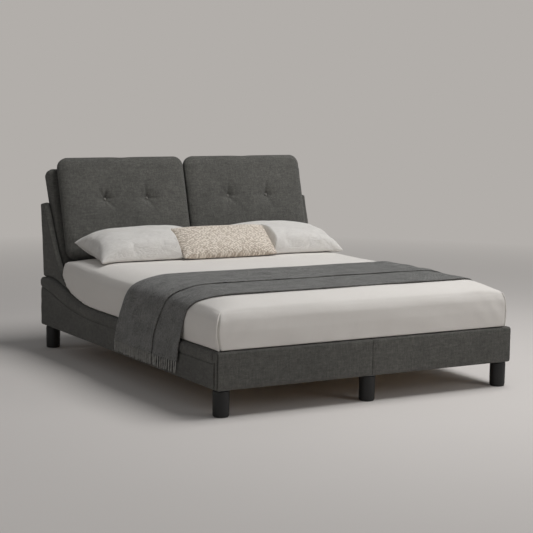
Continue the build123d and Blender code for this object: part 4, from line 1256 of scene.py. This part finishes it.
soft_fold = (
    0.0034 * np.exp(-(((high_run[None] - 0.80 - 0.03 * np.sin(run * 4.0)) / 0.045) ** 2))
    + 0.0022 * np.exp(-(((high_run[None] - 0.42 + 0.04 * np.sin(run * 2.6 + 1)) / 0.10) ** 2))
)
lift[:, -high_count:] = (
    lift[:, -high_count:] + soft_fold
    + 0.0014 * np.sin(run * 13 + y_high * 9) * np.sin(y_high * 31 - run * 5) * np.clip(high_run * 6, 0, 1)
)
lift = lift + 0.0012 * (1 + np.sin(run * 9 + y * 14) * np.sin(y * 23 - run * 4))
hang = np.clip((down - 0.12) / 0.28, 0, 1)[:, None]
sway = 0.004 * hang * (0.6 + np.sin(y * 21 + 1.0) + 0.4 * np.sin(y * 47 + 2.0))
lift = lift + sway
points = np.stack(
    [path[:, :1] + outwards[:, :1] * lift, foot + y, path[:, 1:] + outwards[:, 1:] * lift], axis=-1
)
over = np.concatenate([[0], np.cumsum(np.linalg.norm(np.diff(points[len(points) // 2], axis=0), axis=1))])
flat = np.stack(np.broadcast_arrays(run, over[None]), axis=-1)
throw = form("wool_throw", [points], [net(points)], throw_wool, flat=[flat])
wall = throw.modifiers.new("wool", "SOLIDIFY")
wall.thickness, wall.offset = layer, 0.0
stands_for(throw, "throw_blanket", "throw")

# The fringe is the throw's own warp, left long at both hems and twisted into cords.
rng = np.random.default_rng(7)
rings, corners, drop, strand_gap = 9, 5, 0.069, 0.0245
fringe_top, strand_thick = 0.2245, 0.0041
strands = []
for side, row in ((-1, 0), (1, -1)):
    for first, last, high in (
        (y[row, 0] + 0.004, y[row, low_count - 1] - 0.002, 0),
        (y[row, -1] + 0.004, y[row, low_count - 1] - 0.004, 1),
    ):
        at = np.arange(math.ceil(first / strand_gap), math.floor(last / strand_gap) + 1) * strand_gap
        level = lies_at + fold_gap * high + np.interp(at, y[row, :low_count], sway[row, :low_count])
        strands.append(
            np.stack([side * (abs(path[row, 0]) + level), foot + at, np.round(at / strand_gap)], axis=-1)
        )
strands = np.concatenate(strands)
count = len(strands)
chance = rng.uniform(0, 6, (80, 5, 1, 1))[strands[:, 2].astype(int)]
t = np.linspace(0, 1, rings)[None, :, None]
angle = np.linspace(0, 2 * np.pi, corners, endpoint=False)[None, None] + t * 5.0 + chance[:, 0]
swing = 0.0026 * (chance[:, 1] - 3) * t**1.5 + 0.0012 * np.sin(t * 7 + chance[:, 2])
length = drop * (1 - 0.017 * chance[:, 3])
thick = strand_thick * (1 + 0.22 * np.sin(t * 11 + chance[:, 4])) * np.where(t > 0.97, 0.35, 1.0)
x = strands[:, 0, None, None] + 0.7 * thick * np.cos(angle)
yy = strands[:, 1, None, None] + swing + thick * np.sin(angle)
z = fringe_top - length * t + 0 * angle
tassels = np.stack(np.broadcast_arrays(x, yy, z), axis=-1)
faces = net(tassels[0], round_columns=True)
faces = (faces[None] + np.arange(count)[:, None, None] * rings * corners).reshape(-1, 4)
tassels = tassels.reshape(count * rings, corners, 3)
fringe_wool = Finish("fringe_wool", Sheen_Weight=0.3)
spot = fringe_wool.spot((1, 1, 0.3))
fuzz = fringe_wool.noise(spot, 700.0, 3.0, 0.7)
fringe_wool.wear(
    fringe_wool.between(fuzz, tone(124, 122, 118), tone(206, 204, 198)),
    fuzz * 0.1 + 0.86,
    fuzz,
    0.001,
    0.8,
)
fringe = form("wool_fringe", [tassels], [faces], fringe_wool)
stands_for(fringe, "throw_fringe", "throw")


# ---------------------------------------------------------------- pillows and lumbar cushion
# Two down pillows in white cotton lie flat in front of the headboard, and a small cushion in
# a chunky cream weave leans on both. Each is two panels sewn round the edge and stuffed.
lumbar_tilt, pillow_tilt = math.radians(39.0), math.radians(10.5)
lumbar_spot = np.array([0.020, foot + 1.699, 0.697])
lumbar_half = np.array([0.330, 0.128, 0.054])


def lying(spot, tilt, across, up, out):
    """Points in the room from points on a cushion that lies back by a tilt: across, up its slope and out of
    its face."""
    up_way = np.array([0.0, math.cos(tilt), math.sin(tilt)])
    out_way = np.array([0.0, -math.sin(tilt), math.cos(tilt)])
    across, up, out = np.broadcast_arrays(across, up, out)
    return spot + across[..., None] * [1.0, 0.0, 0.0] + up[..., None] * up_way + out[..., None] * out_way


def stuffed(half, counts, full, pull):
    """Both panels of a stuffed cushion: the thickness falls to nothing at the seam by two powers, and each
    side pulls in between its corners as one less a square."""
    u, v = np.meshgrid(eased(counts[0], 0.75), eased(counts[1], 0.75), indexing="ij")
    body = ((1 - np.abs(u) ** full[0]) * (1 - np.abs(v) ** full[1])) ** full[2]
    x = half[0] * u * (1 - pull * (1 - v**2) * np.abs(u) ** 3)
    y = half[1] * v * (1 - pull * 1.6 * (1 - u**2) * np.abs(v) ** 3)
    return u, v, x, y, half[2] * body


pillow_cotton = Finish("pillow_cotton", Sheen_Weight=0.12, Sheen_Roughness=0.4, Specular_IOR_Level=0.3)
spot = pillow_cotton.spot()
fine = weave(pillow_cotton, spot, 0.0010)
cloud = pillow_cotton.noise(spot, 6.0, 4.0, 0.55)
crease = pillow_cotton.noise(pillow_cotton.spot((0.7, 1.3, 1)), 22.0, 4.0, 0.65, 1.0)
# The white turns grey where the crease noise and the clouds are high: painted shade in the creases.
pillow_cotton.wear(
    pillow_cotton.between(
        (cloud * 0.3 + crease * 0.8 - 0.22).maths("MAXIMUM", 0.0), tone(240, 237, 232), tone(206, 201, 196)
    ),
    cloud * 0.08 + 0.80,
    fine * 0.05 + crease * 1.6 + cloud * 0.6,
    0.010,
    0.7,
)


def plumped(piece, cell, cap, pressure=4.0):
    """Fills a sewn cover: even cells, then cloth under an inner pressure and no gravity for 20 frames, and
    no point moves further than the cap."""
    stage = bpy.context.scene
    even = piece.modifiers.new("even", "REMESH")
    even.mode, even.voxel_size, even.use_smooth_shade = "VOXEL", cell, True
    mesh = bpy.data.meshes.new_from_object(piece.evaluated_get(bpy.context.evaluated_depsgraph_get()))
    piece.modifiers.clear()
    mesh.materials.clear()
    mesh.materials.append(piece.data.materials[0])
    piece.data = mesh
    fill = piece.modifiers.new("fill", "CLOTH")
    fill.settings.use_pressure, fill.settings.uniform_pressure_force = True, pressure
    fill.settings.effector_weights.gravity = 0.0
    fill.settings.quality, fill.settings.mass, fill.settings.bending_stiffness = 5, 0.3, 0.2
    fill.point_cache.frame_start, fill.point_cache.frame_end = 1, 20
    for moment in range(1, 21):
        stage.frame_set(moment)
    filled = piece.evaluated_get(bpy.context.evaluated_depsgraph_get()).to_mesh()
    start = np.zeros(len(mesh.vertices) * 3, dtype=np.float32)
    end = np.zeros(len(filled.vertices) * 3, dtype=np.float32)
    mesh.vertices.foreach_get("co", start)
    filled.vertices.foreach_get("co", end)
    shift = (end - start).reshape(-1, 3)
    far = np.linalg.norm(shift, axis=1, keepdims=True)
    shift = shift * (cap * np.tanh(far / cap) / np.maximum(far, 1e-9))
    piece.modifiers.remove(fill)
    stage.frame_set(1)
    mesh.vertices.foreach_set("co", (start.reshape(-1, 3) + shift).ravel())
    mesh.update()
    finer = piece.modifiers.new("finer", "SUBSURF")
    finer.levels = finer.render_levels = 1


bed_top, give = 0.6024, 0.016


def bedded(points):
    """Where a pillow's cover lies: never below the sheet, where it flattens by a power of e, and pressed
    back where the lumbar cushion leans on it."""
    lay = bed_top - sag(points[..., 0] / 1.036, points[..., 1] - foot)
    deep = points[..., 2] - lay
    points[..., 2] = lay + np.where(deep > give, deep, give * np.exp(np.clip(deep / give - 1, -12, 0)))
    rest = points - lumbar_spot
    on_x, on_up = rest[..., 0], rest[..., 1] * math.cos(lumbar_tilt) + rest[..., 2] * math.sin(lumbar_tilt)
    on_out = -rest[..., 1] * math.sin(lumbar_tilt) + rest[..., 2] * math.cos(lumbar_tilt)
    u, v = np.clip(np.abs(on_x) / lumbar_half[0], 0, 1), np.clip(np.abs(on_up) / lumbar_half[1], 0, 1)
    beyond = np.hypot(
        np.maximum(np.abs(on_x) - lumbar_half[0], 0), np.maximum(np.abs(on_up) - lumbar_half[1], 0)
    )
    press = np.maximum(
        on_out + 0.0015 + lumbar_half[2] * np.sqrt((1 - u**4.6) * (1 - v**3.4)) - 2.6 * beyond, 0
    )
    points = points + press[..., None] * np.array([0.0, math.sin(lumbar_tilt), -math.cos(lumbar_tilt)])
    points[..., 2] = np.maximum(points[..., 2], lay)
    return points


pillow_half = np.array([0.432, 0.226, 0.118])
for name, side in (("left", -1), ("right", 1)):
    spot_at = np.array([side * 0.440, foot + 1.822, 0.650])
    u, v, x, up, thick = stuffed(pillow_half, (130, 84), (2.8, 2.6, 0.56), 0.040)
    grids = []
    for face in (1, -0.42):
        plump = thick / pillow_half[2]
        ruck = 0.0060 * np.sin(x * 21 + 4 * v + side) * np.sin(up * 27 + 2 * u) * plump
        gather = (
            0.0075 * np.exp(-(((np.abs(u) - 0.84) / 0.13) ** 2)) * np.sin(v * 10 + u * 3 + side)
            * np.sqrt(plump)
        )
        gather = (
            gather
            + 0.0060 * np.exp(-(((np.abs(v) - 0.86) / 0.12) ** 2)) * np.sin(u * 17 + v * 2 - side)
            * np.sqrt(plump)
        )
        fold = (
            -0.0085 * np.exp(-(((u + side * 0.10 * v - side * -0.62) / 0.035) ** 2))
            * np.clip(0.5 - v * 0.6, 0, 1) * plump
        )
        grids.append(lying(spot_at, pillow_tilt, x, up, face * (thick + ruck + gather + fold)))
    pillow = form("down_pillow_" + name, grids, [net(part) for part in grids], pillow_cotton)
    plumped(pillow, 0.0065, 0.020)
    places = np.zeros(len(pillow.data.vertices) * 3, dtype=np.float32)
    pillow.data.vertices.foreach_get("co", places)
    pillow.data.vertices.foreach_set(
        "co", bedded(places.reshape(-1, 3).astype(float)).astype(np.float32).ravel()
    )
    stands_for(pillow, "pillow_" + name, "pillows")

lumbar_knit = Finish("lumbar_weave", Sheen_Weight=0.2, Sheen_Roughness=0.5)
spot = lumbar_knit.node("ShaderNodeUVMap", {"uv_map": "cloth"})
warped = lumbar_knit.node(
    "ShaderNodeMapping", {}, spot, Rotation=(0, 0, math.radians(-36)), Scale=(1.0, 1.5, 1.0)
)
knot = lumbar_knit.node(
    "ShaderNodeTexVoronoi",
    {"feature": "SMOOTH_F1"},
    Vector=warped,
    Scale=68.0,
    Smoothness=0.2,
    Randomness=0.5,
)
yarn = lumbar_knit.node(
    "ShaderNodeTexVoronoi",
    {},
    Vector=lumbar_knit.node(
        "ShaderNodeMapping", {}, spot, Rotation=(0, 0, math.radians(50)), Scale=(1.0, 3.0, 1.0)
    ),
    Scale=150.0,
)
fuzz = lumbar_knit.noise(lumbar_knit.spot(), 500.0, 4.0, 0.75)
patch = lumbar_knit.noise(spot, 26.0, 2.0, 0.5)
knot_height_and_shade = (1.06 - knot * 1.55).maths("MAXIMUM", 0.0)
# Darker where the knots fall away: painted shade in the hollows of the weave; the patch, yarn and fuzz noises
# add the yarn's own random tone.
lumbar_knit.wear(
    lumbar_knit.between(
        (knot_height_and_shade * 1.15 + patch * 0.3 - yarn * 0.2 + fuzz * 0.2 + 0.20).held(),
        tone(140, 120, 100),
        tone(236, 226, 213),
    ),
    fuzz * 0.1 + 0.85,
    knot_height_and_shade * 1.2 - yarn * 0.35 + fuzz * 0.2,
    0.0036,
    0.9,
)
u, v, x, up, thick = stuffed(lumbar_half, (190, 96), (4.6, 3.4, 0.5), 0.010)
knots = (
    0.0012 * np.sin((x * 0.85 + up * 0.53) * 330 + 1.5 * np.sin(up * 90))
    * np.sin((up * 0.85 - x * 0.53) * 480 + 1.5 * np.sin(x * 70))
    * np.sqrt(np.clip(thick / lumbar_half[2], 0, 1))
)
grids = [
    lying(
        lumbar_spot,
        lumbar_tilt,
        x,
        up,
        face * (thick * (1 + 0.03 * np.sin(x * 21) * np.sin(up * 33)) + knots),
    ) for face in (1, -1)
]
lumbar = form(
    "lumbar_pillow",
    grids,
    [net(part) for part in grids],
    lumbar_knit,
    flat=[np.stack([x, up], axis=-1)] * 2,
)
stands_for(lumbar, "lumbar_cushion", "lumbar_cushion")


# ---------------------------------------------------------------- floor, backdrop and light
# A pale studio floor fades, well away from the bed, into an even warm grey. A wide soft box
# hangs over the foot, weaker ones stand in front and at the left, and a dim even sky fills
# the shadows.
t = np.linspace(0, 1, 24) ** 2
angle = np.linspace(0, 2 * np.pi, 48, endpoint=False)
points = np.stack(
    np.broadcast_arrays(60 * t * np.cos(angle[:, None]), 60 * t * np.sin(angle[:, None]), 0 * t), axis=-1
)
paper = Finish("studio_paper", Roughness=0.9)
paper.wear(paper.between(paper.noise(paper.spot(), 0.7), tone(214, 209, 205), tone(210, 205, 201)))
reach = paper.node(
    "ShaderNodeVectorMath",
    {"operation": "LENGTH"},
    paper.node("ShaderNodeTexCoord", out="Object"),
    out="Value",
)
far = ((reach - 2.6) / 5.0).held()
haze = paper.node("ShaderNodeEmission", {}, tone(178, 174, 170), 1.0)
seen = paper.node("ShaderNodeLightPath", out="Is Camera Ray")
mirrored = paper.node("ShaderNodeLightPath", out="Is Glossy Ray")
blend = paper.node(
    "ShaderNodeMixShader",
    {},
    (far * (seen + mirrored)).maths("MINIMUM", 1.0),
    Wire(paper, paper.surface.outputs[0]),
    haze,
)
outlet = next(node for node in paper.tree.nodes if node.type == "OUTPUT_MATERIAL")
paper.tree.links.new(blend.socket, outlet.inputs["Surface"])
floor = form("studio_floor", [points], [net(points, round_rows=True)], paper, turn=False)


def soft_box(name, spot, aim, size, power, colour=(1, 1, 1)):
    """A square area lamp that faces a point."""
    lamp = bpy.data.lights.new(name, "AREA")
    lamp.shape, lamp.size, lamp.energy, lamp.color = "SQUARE", size, power, colour
    box = bpy.data.objects.new(name, lamp)
    bpy.context.scene.collection.objects.link(box)
    spot, aim = np.asarray(spot, dtype=float), np.asarray(aim, dtype=float)
    back = (spot - aim) / np.linalg.norm(spot - aim)
    right = np.cross([0.0, 1.0, 0.2], back)
    right /= np.linalg.norm(right)
    matrix = np.eye(4)
    matrix[:3, 0], matrix[:3, 1], matrix[:3, 2], matrix[:3, 3] = right, np.cross(back, right), back, spot
    box.matrix_world = Matrix(matrix.tolist())


soft_box("overhead", (2.0, -1.2, 5.5), (0.0, 0.1, 0.4), 3.2, 235.0)
soft_box("front", (3.4, -6.0, 3.0), (0.0, 0.0, 0.4), 3.0, 66.0)
soft_box("side", (-4.8, -1.6, 2.4), (0.0, 0.0, 0.4), 2.6, 12.0)
sky = bpy.data.worlds.new("studio_sky")
bpy.context.scene.world = sky
sky.use_nodes = True
glow = next(node for node in sky.node_tree.nodes if node.type == "BACKGROUND")
glow.inputs["Color"].default_value = (0.98, 0.99, 1.0, 1.0)
glow.inputs["Strength"].default_value = 0.175
scenery = sky.node_tree.nodes.new("ShaderNodeBackground")
scenery.inputs["Color"].default_value = tone(178, 174, 170)
path_kind = sky.node_tree.nodes.new("ShaderNodeLightPath")
either = sky.node_tree.nodes.new("ShaderNodeMath")
either.operation = "MAXIMUM"
choice = sky.node_tree.nodes.new("ShaderNodeMixShader")
outlet = next(node for node in sky.node_tree.nodes if node.type == "OUTPUT_WORLD")
for start, end in [
    (path_kind.outputs["Is Camera Ray"], either.inputs[0]),
    (path_kind.outputs["Is Transmission Ray"], either.inputs[1]),
    (either.outputs[0], choice.inputs[0]),
    (glow.outputs[0], choice.inputs[1]),
    (scenery.outputs[0], choice.inputs[2]),
    (choice.outputs[0], outlet.inputs["Surface"]),
]:
    sky.node_tree.links.new(start, end)
